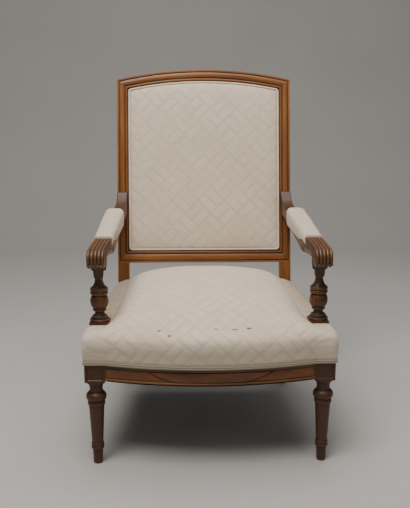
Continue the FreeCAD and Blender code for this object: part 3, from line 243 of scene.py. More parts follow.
# %% [markdown]
# ## Wood
# The frame is waxed fruitwood, golden brown where hands and cloths reach and nearly black
# in the grooves, where old wax gathers. The grain runs along each board, so every piece
# carries an attribute called board: its place in millimetres with the grain first. A
# second attribute called hollow says how deep a point lies under its neighbours. The CAD
# nodes that stay visible have no attributes, so they read Object coordinates instead.

# %% Wood finish
pale_wood = (0.330, 0.128, 0.024, 1)
warm_wood = (0.185, 0.060, 0.008, 1)
dark_wood = (0.060, 0.018, 0.003, 1)
old_wax = (0.012, 0.005, 0.003, 1)
worn_wood = (0.40, 0.185, 0.055, 1)


def wood(name, axis=None, tone=0.0, gloss=0.34, wax=0.93):
    """Grain from three noises stretched along the board: broad figure, fine streaks and
    short pores. The colour goes from dark to pale with figure and streaks, then to wax
    with the hollow mark. Without an axis the board attribute gives the place."""
    f = Finish(name)
    if axis is None:
        place = f.scaled(f.place("board"), (0.001, 0.001, 0.001))
        hollow = f.mark("hollow")
    else:
        turn = {"x": (0, 0, 0), "y": (0, 0, -math.pi / 2), "z": (0, math.pi / 2, 0)}[axis]
        place = f.node("ShaderNodeMapping", None, {"Vector": f.seen(), "Rotation": turn})
        hollow = None
    drift = f.noise(f.scaled(place, (2.2, 9.0, 9.0)), 1.0, 2.0)
    figure = f.noise(f.scaled(place, (5.0, 46.0, 46.0)), 1.0, 4.0, 0.6)
    streaks = f.noise(f.scaled(place, (14.0, 420.0, 420.0), (3, 1, 2)), 1.0, 3.0, 0.65)
    pores = f.noise(f.scaled(place, (70.0, 1500.0, 1500.0), (1, 5, 3)), 1.0, 1.0)
    depth = (0.42 * drift + 0.62 * figure + 0.34 * streaks - 0.18 + tone)
    stops = [(0.28, dark_wood), (0.50, warm_wood), (0.78, pale_wood)]
    colour = f.node("ShaderNodeValToRGB", {"stops": stops}, {"Fac": depth})
    pore = pores.step(0.60, 0.72)
    colour = f.mix(colour, dark_wood, 0.55 * pore)
    rough = gloss + 0.16 * streaks + 0.10 * drift
    height = 0.5 * streaks - 0.8 * pore
    if hollow is not None:
        mottle = f.noise(f.scaled(place, (60, 60, 60)), 1.0, 3.0)
        colour = f.mix(colour, old_wax, (hollow * (0.70 + 0.45 * mottle)).step(0.12, 1.0) * wax)
        colour = f.mix(colour, worn_wood, f.mark("worn") * (0.25 + 0.6 * streaks))
        rough = rough + 0.22 * hollow
    return f.finish(colour, rough, height, 0.00035, 0.30, coat_weight=0.14, coat_roughness=0.18)


frame_wood = wood("polished_wood_back", tone=0.05, gloss=0.33, wax=0.72)
seat_frame_wood = wood("polished_wood_seat", tone=-0.12, gloss=0.36)
turned_wood = wood("polished_wood_turned", tone=-0.24, gloss=0.34)
# The legs' darker tone is mostly painted shade, for the shadow the legs stand in under the seat
leg_wood_shaded = wood("polished_wood_legs_shaded", tone=-0.36, gloss=0.38)
arm_wood = wood("polished_wood_arms", tone=-0.22, gloss=0.33)
plain_wood_x = wood("plain_wood_x", "x", 0.12, 0.52)
plain_wood_y = wood("plain_wood_y", "y", 0.12, 0.52)
print("wood finishes:", frame_wood.name, turned_wood.name, arm_wood.name)

# %% [markdown]
# ## Surfaces
# A surface is a grid of points. It may close on itself along rows or columns, and it
# carries marks: how hollow and how worn each point is, its place along the board, and
# its place on the cloth. Subdivision could round a coarse cage instead, but a dense grid
# keeps each edge exactly where the drawing puts it.

# %% Surface
class Surface:
    """A grid of points in chair millimetres with its marks."""

    def __init__(self, points, wrap=(False, False), board=None, hollow=0.0, worn=0.0, cloth=None, flip=False):
        self.points = np.asarray(points, float)
        self.wrap = wrap
        shape = self.points.shape[:2]
        self.board = self.points[..., [0, 1, 2]] if board is None else np.asarray(board, float)
        self.hollow = np.broadcast_to(hollow, shape)
        self.worn = np.broadcast_to(worn, shape)
        self.cloth = cloth
        self.flip = flip

    def mirrored(self):
        """The same surface on the other side of the chair: x turns to -x."""
        return Surface(self.points * (-1, 1, 1), self.wrap, self.board + (37, 0, 0), self.hollow,
                       self.worn, self.cloth, not self.flip)

    def quads(self, columns, rows, whole):
        """Corner numbers of the grid's quads. With whole set, a closing row or column has
        numbers of its own, as texture corners need."""
        a = np.arange(rows if self.wrap[0] else rows - 1)[:, None]
        b = np.arange(columns if self.wrap[1] else columns - 1)[None, :]
        if whole:
            a2, b2, columns = a + 1, b + 1, columns + self.wrap[1]
        else:
            a2, b2 = (a + 1) % rows, (b + 1) % columns
        corners = [a * columns + b, a2 * columns + b, a2 * columns + b2, a * columns + b2]
        quads = np.stack([c + 0 * (a + b) for c in corners], -1).reshape(-1, 4)
        return quads[:, ::-1] if self.flip else quads


print("a grid of 3 by 4 points has", len(Surface(np.zeros((3, 4, 3))).quads(4, 3, False)), "quads")

# %% [markdown]
# `piece` makes one mesh object from a few surfaces. It fills the mesh with whole arrays,
# which is thousands of times faster than adding faces one by one, then merges the points
# that meet at poles and seams and turns every face outwards. Most wooden pieces come in
# pairs, so a right-hand piece is written once and mirrored.

# %% Piece
def to_row(points):
    """Chair millimetres to the frame's metres: times 0.001, then back to the leg axis."""
    return points * 0.001 + (0.0, leg_axis_y, 0.0)


def piece(name, surfaces, finish, nodes=(), crisp=None, outward=True):
    """One mesh object from surfaces, riding on the root body. nodes are the CAD nodes that
    it stands for, and crisp is the angle in degrees from which an edge stays sharp."""
    points, quads, cloths, start = [], [], [], 0
    for s in surfaces:
        rows, columns = s.points.shape[:2]
        quads.append(s.quads(columns, rows, False) + start)
        cloth = s.points[..., :2] if s.cloth is None else s.cloth
        if s.cloth is None:
            cloth = np.pad(cloth, ((0, s.wrap[0]), (0, s.wrap[1]), (0, 0)), mode="wrap")
        cloths.append(cloth.reshape(-1, 2)[s.quads(columns, rows, True)])
        points.append(s.points.reshape(-1, 3))
        start += rows * columns
    points, quads, cloths = np.concatenate(points), np.concatenate(quads), np.concatenate(cloths)
    mesh = bpy.data.meshes.new(name)
    mesh.vertices.add(len(points))
    mesh.vertices.foreach_set("co", to_row(points).astype(np.float32).ravel())
    mesh.loops.add(quads.size)
    mesh.loops.foreach_set("vertex_index", quads.astype(np.int32).ravel())
    mesh.polygons.add(len(quads))
    mesh.polygons.foreach_set("loop_start", np.arange(0, quads.size, 4, dtype=np.int32))
    mesh.polygons.foreach_set("use_smooth", np.ones(len(quads), bool))
    mesh.update(calc_edges=True)
    layer = mesh.uv_layers.new(name="cloth")
    layer.uv.foreach_set("vector", (cloths * 0.001).astype(np.float32).ravel())
    board = np.concatenate([s.board.reshape(-1, 3) for s in surfaces]).astype(np.float32)
    mesh.attributes.new("board", "FLOAT_VECTOR", "POINT").data.foreach_set("vector", board.ravel())
    for mark in ("hollow", "worn"):
        values = np.concatenate([getattr(s, mark).ravel() for s in surfaces])
        mesh.attributes.new(mark, "FLOAT", "POINT").data.foreach_set("value", values.astype(np.float32))
    shape = bmesh.new()
    shape.from_mesh(mesh)
    bmesh.ops.remove_doubles(shape, verts=shape.verts, dist=2e-6)
    bmesh.ops.dissolve_degenerate(shape, edges=shape.edges, dist=2e-6)
    if outward:
        bmesh.ops.recalc_face_normals(shape, faces=shape.faces)
    shape.to_mesh(mesh)
    shape.free()
    made = bpy.data.objects.new(name, mesh)
    bpy.context.scene.collection.objects.link(made)
    mesh.materials.append(finish)
    if crisp:
        mesh.set_sharp_from_angle(angle=math.radians(crisp))
        weighted = made.modifiers.new("even_shading", "WEIGHTED_NORMAL")
        weighted.keep_sharp = True
    if nodes:
        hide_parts(*nodes)
    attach(made, "root")
    print(f"{name}: {len(mesh.polygons)} faces")
    return made


def wooden(name, surfaces, finish, node, crisp=40):
    """A wooden piece that stands for one CAD node."""
    return piece(name, surfaces, finish, [node], crisp)


def wooden_pair(name, surfaces, finish, node, crisp=40):
    """A right-hand wooden piece and its mirror image."""
    wooden(name + "_right", surfaces, finish, node + "_right", crisp)
    wooden(name + "_left", [s.mirrored() for s in surfaces], finish, node + "_left", crisp)


def joined(*parts):
    """x, y and z of any shapes that fit each other as one array of points."""
    return np.stack(np.broadcast_arrays(*parts), -1)


print("one millimetre is", to_row(np.array([1.0, 0.0, 0.0]))[0], "metres")

# %% [markdown]
# ## Profiles
# Mouldings and turnings start as flat outlines of straight and round runs, the way a
# joiner draws them. Corners are eased a little, because real edges are never knife sharp.

# %% Profile tools
def trace(start, *steps, fine=9):
    """A flat outline from steps. A step of one point is a straight run. A step of two is
    an arc through the first to the second: its centre is where the perpendicular
    bisectors of the two chords meet, and its points lie at even angles about it."""
    runs = [np.array([start], float)]
    for step in steps:
        here = runs[-1][-1]
        if len(step) == 1:
            runs.append(np.array(step, float))
            continue
        b, c = np.array(step, float)
        to_b, to_c = b - here, c - here
        turn = 2 * (to_b[0] * to_c[1] - to_b[1] * to_c[0])
        bb, cc = to_b @ to_b, to_c @ to_c
        centre = here + np.array([to_c[1] * bb - to_b[1] * cc, to_b[0] * cc - to_c[0] * bb]) / turn
        radius = math.dist(here, centre)
        first = math.atan2(*(here - centre)[::-1])
        sweep = (math.atan2(*(c - centre)[::-1]) - first) % (2 * math.pi)
        if turn < 0:
            sweep -= 2 * math.pi
        angles = first + sweep * np.linspace(0, 1, fine + 1)[1:]
        runs.append(centre + radius * np.stack([np.cos(angles), np.sin(angles)], -1))
    return np.concatenate(runs)


def eased(outline, size):
    """The outline with each corner sharper than 25 degrees replaced by three points of a
    parabola that leaves the runs at most size from the corner."""
    before, after = np.diff(outline, axis=0)[:-1], np.diff(outline, axis=0)[1:]
    long_before = np.maximum(np.linalg.norm(before, axis=1), 1e-9)
    long_after = np.maximum(np.linalg.norm(after, axis=1), 1e-9)
    cosine = (before * after).sum(1) / (long_before * long_after)
    cut = np.minimum(size, 0.42 * np.minimum(long_before, long_after))
    cut = np.where(cosine < math.cos(math.radians(25)), cut, 0.0)[:, None]
    middle = outline[1:-1]
    low = middle - before / long_before[:, None] * cut
    high = middle + after / long_after[:, None] * cut
    bend = 0.25 * low + 0.5 * middle + 0.25 * high
    parts = np.stack([low, bend, high], 1)
    keep = np.stack([cut[:, 0] > 0, np.ones(len(cut), bool), cut[:, 0] > 0], 1)
    return np.concatenate([outline[:1], parts[keep], outline[-1:]])


def dense(outline, step):
    """The outline with straight runs divided so that no edge is longer than step."""
    lengths = np.linalg.norm(np.diff(outline, axis=0), axis=1)
    counts = np.maximum(np.ceil(lengths / step).astype(int), 1)
    run = np.repeat(np.arange(len(counts)), counts)
    part = (np.arange(counts.sum()) - np.repeat(np.cumsum(counts) - counts, counts)) / counts[run]
    inner = outline[run] + (outline[run + 1] - outline[run]) * part[:, None]
    return np.concatenate([inner, outline[-1:]])


print("an eased square corner:", eased(np.array([[0.0, 0.0], [9.0, 0.0], [9.0, 9.0]]), 1.0).tolist())

# %% [markdown]
# Old wax and dust lie in the grooves of a moulding. Painting them by hand would take an
# evening. `hollows` finds them from the profile itself: a point is hollow when a point
# close by stands higher. Two smooth functions help to blend masks and heights.

# %% Masks
def hollows(height, place, reach, depth):
    """How far each point of a profile lies under the highest point within reach, as a
    share of depth: (local peak - height) / depth, kept between 0 and 1."""
    near = np.abs(place[:, None] - place[None, :]) <= reach
    peak = np.where(near, height[None, :], -1e9).max(1)
    return np.clip((peak - height) / depth, 0, 1)


def smooth_step(x, low, high):
    """0 below low, 1 above high, and 3t*t - 2t*t*t between."""
    t = np.clip((x - low) / (high - low), 0, 1)
    return t * t * (3 - 2 * t)


def soft_min(a, b, reach):
    """The lower of two heights with their meeting rounded off over a reach."""
    h = np.maximum(1 - np.abs(a - b) / reach, 0)
    return np.minimum(a, b) - h * h * reach / 4


print("a groove 2 mm deep:", hollows(np.array([0.0, -2.0, 0.0]), np.arange(3.0), 1.0, 3.0).round(2))

# %% [markdown]
# A lathe carries an outline round an axis, and so does `turned`. A plane and a saw make a
# square column, and `square_column` does the same with rings of rounded squares, which
# may be sunk into a panel. The Screw modifier could spin an outline too, but it would
# know nothing of the marks.

# %% Turning and column
def turned(outline, centre, sides=72):
    """A turning: every point of an outline of radius and height goes round an upright
    axis, as x = radius cos angle, y = radius sin angle."""
    angle = np.linspace(0, 2 * math.pi, sides, endpoint=False)[None, :]
    radius, height = outline[:, :1], outline[:, 1:]
    x = centre[0] + radius * np.cos(angle)
    y = centre[1] + radius * np.sin(angle)
    z = height + 0 * angle
    points = np.stack([x, y, z], -1)
    sunk = hollows(outline[:, 0], outline[:, 1], 5.0, 5.0)[:, None]
    rim = hollows(-outline[:, 0], outline[:, 1], 3.5, 9.0)[:, None]
    return Surface(points, (False, True), points[..., [2, 0, 1]], sunk, 0.30 * rim * (1 - sunk))


def square_column(centre, half, levels, corner, panel=None):
    """A square column of rounded plan. levels are pairs of height and inset. The plan
    point at a share of the way round is half the width out, less a corner arc. A panel is
    sunk into the faces: (border half width, low, high, depth, faces)."""
    flat = half - corner
    across = np.linspace(-1, 1, 13) * flat
    if panel:
        near = panel[0]
        across = np.concatenate([[-flat, -near - 0.9, -near, -near + 0.9],
                                 np.linspace(-near + 4, near - 4, 7),
                                 [near - 0.9, near, near + 0.9, flat]])
    bend = np.linspace(0, math.pi / 2, 5)[1:-1]
    side = np.stack([across, np.full(len(across), -half)], -1)
    arc = np.stack([flat + corner * np.sin(bend), -flat - corner * np.cos(bend)], -1)
    one = np.concatenate([side, arc])
    turn = np.array([[0, 1], [-1, 0]])
    quarter = [np.linalg.matrix_power(turn, k) for k in range(4)]
    loop = np.concatenate([one @ q for q in quarter])
    ways = np.concatenate([np.repeat((np.array([[0, -1]]) @ q), len(one), 0) for q in quarter])
    offset = np.concatenate([np.where(np.arange(len(one)) < len(across), one[:, 0], half)] * 4)
    heights, insets = np.array(levels, float).T
    sink = np.zeros((len(heights), len(loop)))
    if panel:
        near, low, high, deep, faces = panel
        room = np.minimum(near - np.abs(offset)[None, :], np.minimum(heights - low, high - heights)[:, None])
        sink = deep * np.clip(room / 0.9 + 0.5, 0, 1)
        sink = sink * np.repeat(np.array(faces, float), len(one))[None, :]
    scale = (1 - insets / half)[:, None, None]
    plan = loop[None] * scale - ways[None] * sink[..., None]
    points = joined(plan[..., 0] + centre[0], plan[..., 1] + centre[1], heights[:, None])
    edge = np.abs(offset)[None, :] / half
    share = sink / max(sink.max(), 1e-9)
    rim = 4 * share * (1 - share)
    hollow = np.clip(0.9 * rim + 0.12 * (sink > 0.1), 0, 1) + 0 * edge
    worn = 0.25 * smooth_step(edge, 0.93, 1.0) + 0 * sink
    return Surface(points, (False, True), points[..., [2, 0, 1]], hollow, worn)


print("turning:", turned(np.array([[0.0, 0.0], [1.0, 1.0]]), (0, 0)).points.shape, "points each")

# %% [markdown]
# ## Front legs
# Each front leg is one piece of wood: a square block, where the rails are joined, and a
# turned shaft below it with a cap, neck, torus, collar, ankle ring and small foot. The
# turning is an outline carried round the axis. The block is a column with panels sunk
# into the faces that show.

# %% Legs
rail_top, rail_bottom = 300.0, 233.0
leg_axis_x, leg_half = 290.0, 26.0
leg_block_bottom = rail_bottom - 6.0
leg_outer_x, leg_inner_x = leg_axis_x + leg_half, leg_axis_x - leg_half


def leg_turning():
    """The outline of a front leg's turned part, from the floor up."""
    top = leg_block_bottom
    cap, neck, torus, collar = top - 9.0, top - 31.0, top - 55.0, top - 67.0
    outline = trace(
        (0.0, 0.0), ((10.4, 0.0),), ((11.6, 1.0),), ((13.2, 40.0),), ((15.2, 40.0),),
        ((16.6, 44.2), (15.0, 48.4)), ((16.4, 52.8), (15.0, 57.0)), ((14.4, 58.2),),
        ((19.6, collar - 2.0),), ((19.6, collar),),
        ((21.2, collar),), ((22.4, collar + 6.0), (21.2, torus)), ((19.6, torus),),
        ((26.0, torus + 12.0), (18.4, neck)), ((17.8, neck + 1.2),), ((16.6, neck + 11.0), (19.6, cap)),
        ((22.8, cap + 1.2),), ((24.0, top),), ((0.0, top),))
    return dense(eased(outline, 0.7), 5.0)


def leg_block():
    """The leg's square block with a sunk panel in its front and its outer face."""
    low, high = leg_block_bottom, rail_top
    panel_low, panel_high = low + 6.5, high - 30.5
    steps = np.concatenate([[low + 1.0, panel_low - 0.9, panel_low, panel_low + 0.9],
                            np.linspace(panel_low + 5, panel_high - 5, 6),
                            [panel_high - 0.9, panel_high, panel_high + 0.9, high - 1.0]])
    levels = [(low, leg_half), (low, 1.0)] + [(z, 0.0) for z in steps] + [(high, 1.0), (high, leg_half)]
    panel = (leg_half - 6.5, panel_low, panel_high, 2.0, (1, 1, 0, 0))
    return square_column((leg_axis_x, 0.0), leg_half, levels, 2.0, panel)


right_leg = [leg_block(), turned(leg_turning(), (leg_axis_x, 0.0))]
wooden_pair("turned_leg", right_leg, leg_wood_shaded, "front_leg")

# %% [markdown]
# ## Seat rails
# The front rail is cut to a shallow bow. Its moulding is a thin strip above, a groove, a
# broad flat band, a groove and a bead below. In the middle of the band a low tablet with
# hollow ends is left standing, outlined by a cut line. One profile is carried along the
# bow, and along a straight line for the side rails.

# %% Rail profile
rail_thickness = 30.0
rail_bow = 42.0
bow_radius = (leg_inner_x ** 2 + rail_bow ** 2) / (2 * rail_bow)
bow_centre_y = bow_radius - rail_bow - leg_half
band_low, band_high = rail_bottom + 7.5, rail_bottom + 32.5
post_front_y, post_outer_x, post_inner_x = 489.6, 270.0, 236.0


def rail_profile():
    """Depth behind the rail's outer face and height, from the inner foot round the front
    to the inner top."""
    low = rail_bottom
    outline = trace(
        (rail_thickness, low), ((3.0, low),), ((1.2, low + 3.0), (3.0, low + 6.0)), ((4.5, low + 6.0),),
        ((4.5, band_low),), ((3.0, band_low),), ((3.0, band_high),), ((4.5, band_high),),
        ((4.5, band_high + 1.5),), ((0.0, band_high + 1.5),), ((0.0, rail_top),),
        ((rail_thickness, rail_top),))
    return dense(eased(outline, 0.5), 2.4)


def rail_marks(profile, stations):
    """Hollow and worn shares of a rail's profile, the same at every station."""
    shown = profile[:, 0] < 8.0
    sunk = hollows(-profile[:, 0], profile[:, 1], 2.2, 2.6) * shown
    rim = np.exp(-((profile[:, 1] - rail_bottom - 3.0) / 2.2) ** 2) * shown * 0.35
    shape = (stations, len(profile))
    return np.broadcast_to(sunk, shape), np.broadcast_to(rim, shape)


print("rail profile:", len(rail_profile()), "points, bow radius", round(bow_radius), "mm")

# %% [markdown]
# The tablet and the cut line round it are relief on the front rail. A boolean could cut
# them, but it would leave ragged faces. Here each point of the rail asks how far it lies
# from the tablet's curved end, and moves out or in by that distance.

# %% Tablet and front rail
def tablet_lift(x, z):
    """How far the tablet stands out of the band, and how dark its outline is. Its end is
    a curve from the band's top to its foot, full by 11 mm, told by the distance to it."""
    share = np.clip((z - band_low) / (band_high - band_low), 0, 1)
    edge = 87.0 + 65.0 * share + 44.0 * share * (1 - share)
    inside = (edge - np.abs(x)) * 0.36
    above = smooth_step(z, band_low - 0.1, band_low + 0.5)
    in_band = above * (1 - smooth_step(z, band_high - 0.5, band_high + 0.1))
    lift = 1.8 * smooth_step(inside, -0.4, 0.5) * in_band
    line = np.exp(-((inside + 0.7) / 1.4) ** 2) * in_band
    return lift - 1.8 * line, line


def front_rail():
    """The profile at even steps along the bow: x = r sin a, y = centre - r cos a."""
    profile = rail_profile()
    reach = math.asin(leg_inner_x / (bow_radius - rail_thickness))
    angle = np.linspace(-reach, reach, 560)[:, None]
    depth, z = profile[None, :, 0], profile[None, :, 1] + 0 * angle
    lift, line = tablet_lift(bow_radius * np.sin(angle), z)
    radius = bow_radius - depth + lift * (depth < 8.0)
    x = np.clip(radius * np.sin(angle), -leg_inner_x, leg_inner_x)
    y = bow_centre_y - np.sqrt(np.maximum(radius ** 2 - x ** 2, 0))
    sunk, rim = rail_marks(profile, len(angle))
    board = np.stack([bow_radius * angle + 0 * z, y, z], -1)
    return Surface(np.stack([x, y, z], -1), (False, True), board, np.maximum(sunk, 0.95 * line), rim)


def ends_closed(surface):
    """A surface whose first and last rings are drawn together to their own middles."""
    def cap(ring):
        """A ring and its middle, repeated as often as the ring has points."""
        return np.stack([ring, np.broadcast_to(ring.mean(0), ring.shape)])

    caps = [Surface(cap(surface.points[e]), (False, True), cap(surface.board[e])) for e in (0, -1)]
    return [surface, *caps]


print("tablet stands out by", float(tablet_lift(0.0, (band_low + band_high) / 2)[0]), "mm")


# %% [markdown]
# The side rails carry the same profile along a straight line that leans inwards, from the
# leg block to the rear post. Both kinds of rail are closed at their ends.

# %% Side rails
def side_x(y):
    """The outer face of the right side rail at a depth."""
    return leg_outer_x + (post_outer_x - leg_outer_x) * (y - leg_half) / (post_front_y - leg_half)


def side_rail():
    """The profile carried from the leg block to the rear post, leaning inwards."""
    profile = rail_profile()
    y = np.linspace(leg_half, post_front_y, 40)[:, None]
    outer = side_x(y)
    x = outer - profile[None, :, 0]
    z = profile[None, :, 1] + 0 * y
    sunk, rim = rail_marks(profile, len(y))
    points = np.stack([x, y + 0 * x, z], -1)
    return Surface(points, (False, True), points[..., [1, 0, 2]], sunk, rim)


wooden("front_rail_moulded", ends_closed(front_rail()), seat_frame_wood, "front_rail")
wooden_pair("side_rail_moulded", ends_closed(side_rail()), seat_frame_wood, "side_rail")

# %% [markdown]
# ## Rear posts
# A rear post leaves the floor as a sabre leg, stands upright beside the seat and then
# leans back. It is a loft between a front and a back chain of points: each ring is a
# rectangle with rounded corners between the two chains. The same loft makes the arms.

# %% Loft between two chains
def spread(chain, count):
    """A chain of points resampled to even steps along its length."""
    chain = np.asarray(chain, float)
    run = np.concatenate([[0], np.cumsum(np.linalg.norm(np.diff(chain, axis=0), axis=1))])
    at = np.linspace(0, run[-1], count)
    return np.stack([np.interp(at, run, chain[:, k]) for k in (0, 1)], -1)


lanes = np.concatenate([-1 + 0.06 * np.array([0, 0.2, 0.55]), np.linspace(-0.94, 0.94, 60),
                        1 - 0.06 * np.array([0.55, 0.2, 0])])


def chain_loft(upper, lower, edges, corner, relief=None):
    """Rings between two chains of y and z. On the upper side of a ring a point lies at
    its chain point plus the chain's outward normal times the relief; the sides run
    straight to the lower chain. edges gives the inner and the outer x at any y and z."""
    def normals(chain, away):
        """Unit vectors at right angles to a chain, on the side that away points to."""
        way = np.gradient(chain, axis=0)
        normal = np.stack([-way[:, 1], way[:, 0]], -1)
        normal /= np.maximum(np.linalg.norm(normal, axis=1, keepdims=True), 1e-9)
        return normal * np.where((normal * away).sum(1) < 0, -1, 1)[:, None]

    away = upper - lower
    up_normal, low_normal = normals(upper, away), normals(lower, -away)
    across = lanes
    relief = np.zeros((len(upper), 2, len(across))) if relief is None else relief(across)
    inner, outer = edges(upper[:, 0], upper[:, 1])
    half = (outer - inner)[:, None] / 2
    rounding = np.clip((np.abs(across)[None] * half - (half - corner)) / corner, 0, 1)
    drop = corner * (1 - np.sqrt(np.maximum(1 - rounding ** 2, 0)))
    rows = []
    for k, (chain, normal) in enumerate(((upper, up_normal), (lower, low_normal))):
        shift = relief[:, k] - drop
        yz = chain[:, None] + normal[:, None] * shift[..., None]
        a, b = edges(yz[..., 0], yz[..., 1])
        x = (a + b) / 2 + (b - a) / 2 * across[None]
        rows.append(np.concatenate([x[..., None], yz], -1))
    share = np.linspace(0, 1, 16)[1:-1]

    def side(first, last, which):
        """Straight lines from one edge to the other on the inner (0) or outer (1) side."""
        yz = first[:, None, 1:] + (last - first)[:, None, 1:] * share[:, None]
        x = edges(yz[..., 0], yz[..., 1])[which]
        return np.concatenate([x[..., None], yz], -1)

    outer_side = side(rows[0][:, -1], rows[1][:, -1], 1)
    inner_side = side(rows[1][:, 0], rows[0][:, 0], 0)
    return np.concatenate([rows[0], outer_side, rows[1][:, ::-1], inner_side], 1)


print("points across a loft:", len(lanes))

# %% [markdown]
# The post's two chains come from three stretches each: an arc for the sabre leg, a plumb
# length at the rails and a raked length up to the back. The piece itself waits for the
# stile above it, because both are one stick of wood.

# %% Post
rake = math.radians(11.9)
back_bottom_z, back_thickness = 411.0, 30.0
back_front_y = post_front_y + (back_bottom_z - rail_top) * math.tan(rake)


def post_chains():
    """Front and back of the post, from the floor to the foot of the back frame."""
    front = np.concatenate([
        spread(trace((559.6, 0.0), ((508.6, 116.5), (post_front_y, rail_bottom)), fine=24), 30),
        spread([(post_front_y, rail_bottom), (post_front_y, rail_top)], 6)[1:],
        spread([(post_front_y, rail_top), (back_front_y, back_bottom_z)], 10)[1:]])
    end = (back_front_y + back_thickness * math.cos(rake),
           back_bottom_z - back_thickness * math.sin(rake))
    back = np.concatenate([
        spread(trace((587.6, 0.0), ((540.6, 116.5), (525.6, rail_bottom)), fine=24), 30),
        spread([(525.6, rail_bottom), (525.6, rail_top)], 6)[1:],
        spread([(525.6, rail_top), end], 10)[1:]])
    return front, back


def post_edges(y, z):
    """Inner and outer face of the right post: narrower towards the floor."""
    taper = 3.0 * np.clip(1 - z / (rail_bottom - 10.0), 0, 1)
    return post_inner_x + taper + 0 * y, post_outer_x - taper + 0 * y


def post_surface():
    """The loft of the post, a little rubbed near the floor."""
    front, back = post_chains()
    points = chain_loft(front, back, post_edges, 2.0)
    rub = 0.35 * np.exp(-((points[..., 2] - 8.0) / 14.0) ** 2)
    return Surface(points, (False, True), points[..., [2, 0, 1]], 0.25 * rub, 0.4 * rub)


right_post = ends_closed(post_surface())
print("post rings:", len(right_post[0].points))

# %% [markdown]
# ## Back frame
# Four mitred mouldings hold the back: an arched top rail, two stiles and a lower rail.
# They are drawn flat and then leaned back. For each line of the profile the four sides
# meet at corners worked out from its distance to the outer edge, so every mitre closes.

# %% Flat drawing of the back
back_shoulder, back_crown = 571.0, 602.0
crown_rise = back_crown - back_shoulder
top_radius = (post_outer_x ** 2 + crown_rise ** 2) / (2 * crown_rise)
top_centre_v = back_crown - top_radius
opening_half = post_inner_x
top_face, lower_face, stile_face = 35.0, 37.5, 34.0


def leaned(x, v, w):
    """A point of the flat drawing in its place: v up the back, w out of its front face."""
    y = back_front_y + v * math.sin(rake) - w * math.cos(rake)
    z = back_bottom_z + v * math.cos(rake) + w * math.sin(rake)
    return joined(x, y, z)


def frame_profile(face):
    """The back moulding as distance from the outer edge and height: fillet, groove,
    convex band, groove, bead, then the rebate's ledge. Its number of points is the same
    for every width of face."""
    bead = face - 9.0
    middle = (7.5 + bead - 2.0) / 2
    front = trace(
        (0.0, -6.0), ((0.0, 0.0),), ((5.5, 0.0),), ((5.5, -3.5),), ((7.5, -3.5),), ((7.5, -1.5),),
        ((middle, 0.6), (bead - 2.0, -1.5)), ((bead - 2.0, -3.5),), ((bead, -3.5),),
        ((bead + 4.0, 0.0), (bead + 8.0, -3.5)), ((face, -3.5),), ((face, -15.0),),
        ((face + 10.0, -15.0),), fine=8)
    return eased(front, 0.6)


def offset_corner(half, radius):
    """Where an upright line at x = half meets the arch of a radius."""
    return top_centre_v + np.sqrt(radius ** 2 - half ** 2)


print("back moulding:", len(frame_profile(stile_face)), "points")

# %% [markdown]
# Each side runs from mitre to mitre, line by line of the profile, so neighbours share the
# very same corner points. Cutting four long mouldings at 45 degrees would fail here,
# because the arch meets the stile at another angle.

# %% Mitred sides
def frame_side(which, stations=48):
    """One mitred side: for each line of the profile, points from mitre to mitre, and the
    same line projected to the back face, closed into a ring."""
    stile, top, low = (frame_profile(f) for f in (stile_face, top_face, lower_face))
    half = post_outer_x - stile[:, 0]
    v_low = low[:, 0]
    v_high = offset_corner(half, top_radius - top[:, 0])
    t = np.linspace(0, 1, stations)[:, None]
    if which == "stile":
        x, v, w = half + 0 * t, v_low + (v_high - v_low) * t, stile[:, 1] + 0 * t
        w = w + (low[:, 1] - stile[:, 1]) * (t == 0) + (top[:, 1] - stile[:, 1]) * (t == 1)
        board = (v, x, w)
    elif which == "lower":
        x, v, w = half * (2 * t - 1), v_low + 0 * t, low[:, 1] + 0 * t
        board = (x, v, w)
    else:
        reach = np.arcsin(half / (top_radius - top[:, 0]))
        angle = reach * (2 * t - 1)
        radius = top_radius - top[:, 0]
        x, v = radius * np.sin(angle), top_centre_v + radius * np.cos(angle)
        w = top[:, 1] + 0 * t
        board = (top_radius * angle, radius + 0 * t, w)
    profile = {"stile": stile, "lower": low, "top": top}[which]
    sunk = hollows(profile[:, 1], profile[:, 0], 3.2, 3.0) * (profile[:, 0] < profile[-1, 0] - 10.5)
    rim = 0.5 * np.exp(-((profile[:, 0] - 2.7) / 2.4) ** 2) * (profile[:, 1] > -1.0)
    mitre = 0.55 * np.exp(-(np.minimum(t, 1 - t) * 500.0 / 1.2) ** 2)
    hollow = np.maximum(sunk[None] + 0 * t, mitre)
    front = leaned(x, v, w)
    back = leaned(x, v, np.full_like(w, -back_thickness))
    drawn = joined(*board)
    points = np.concatenate([front, back[:, ::-1]], 1)
    boards = np.concatenate([drawn, drawn[:, ::-1] + (0, 0, 30)], 1)
    plain = 0 * hollow
    ring = Surface(points, (False, True), boards, np.concatenate([hollow, plain], 1),
                   np.concatenate([rim[None] + plain, plain], 1))
    caps = [Surface(np.stack([front[e], back[e]]), board=np.stack([drawn[e], drawn[e]]), hollow=0.3)
            for e in (0, -1)]
    return [ring, *caps]


wooden_pair("rear_post_moulded", right_post + frame_side("stile"), frame_wood, "rear_post")
wooden("top_rail_moulded", frame_side("top", 120), frame_wood, "top_rail")
wooden("lower_back_rail_moulded", frame_side("lower"), frame_wood, "lower_back_rail")

# %% [markdown]
# ## Arm supports
# A baluster stands on a square plate on top of the seat. Its shank goes down through the
# upholstery to the side rail. The turning goes up in rings, a waist, a disc, a full vase,
# two cap rings and a cone that meets the arm's neck.

# %% Arm supports
support_x, support_y = 282.0, 63.0
plate_half, plate_low, plate_high = 25.5, 359.0, 364.0
support_top_z = 479.0


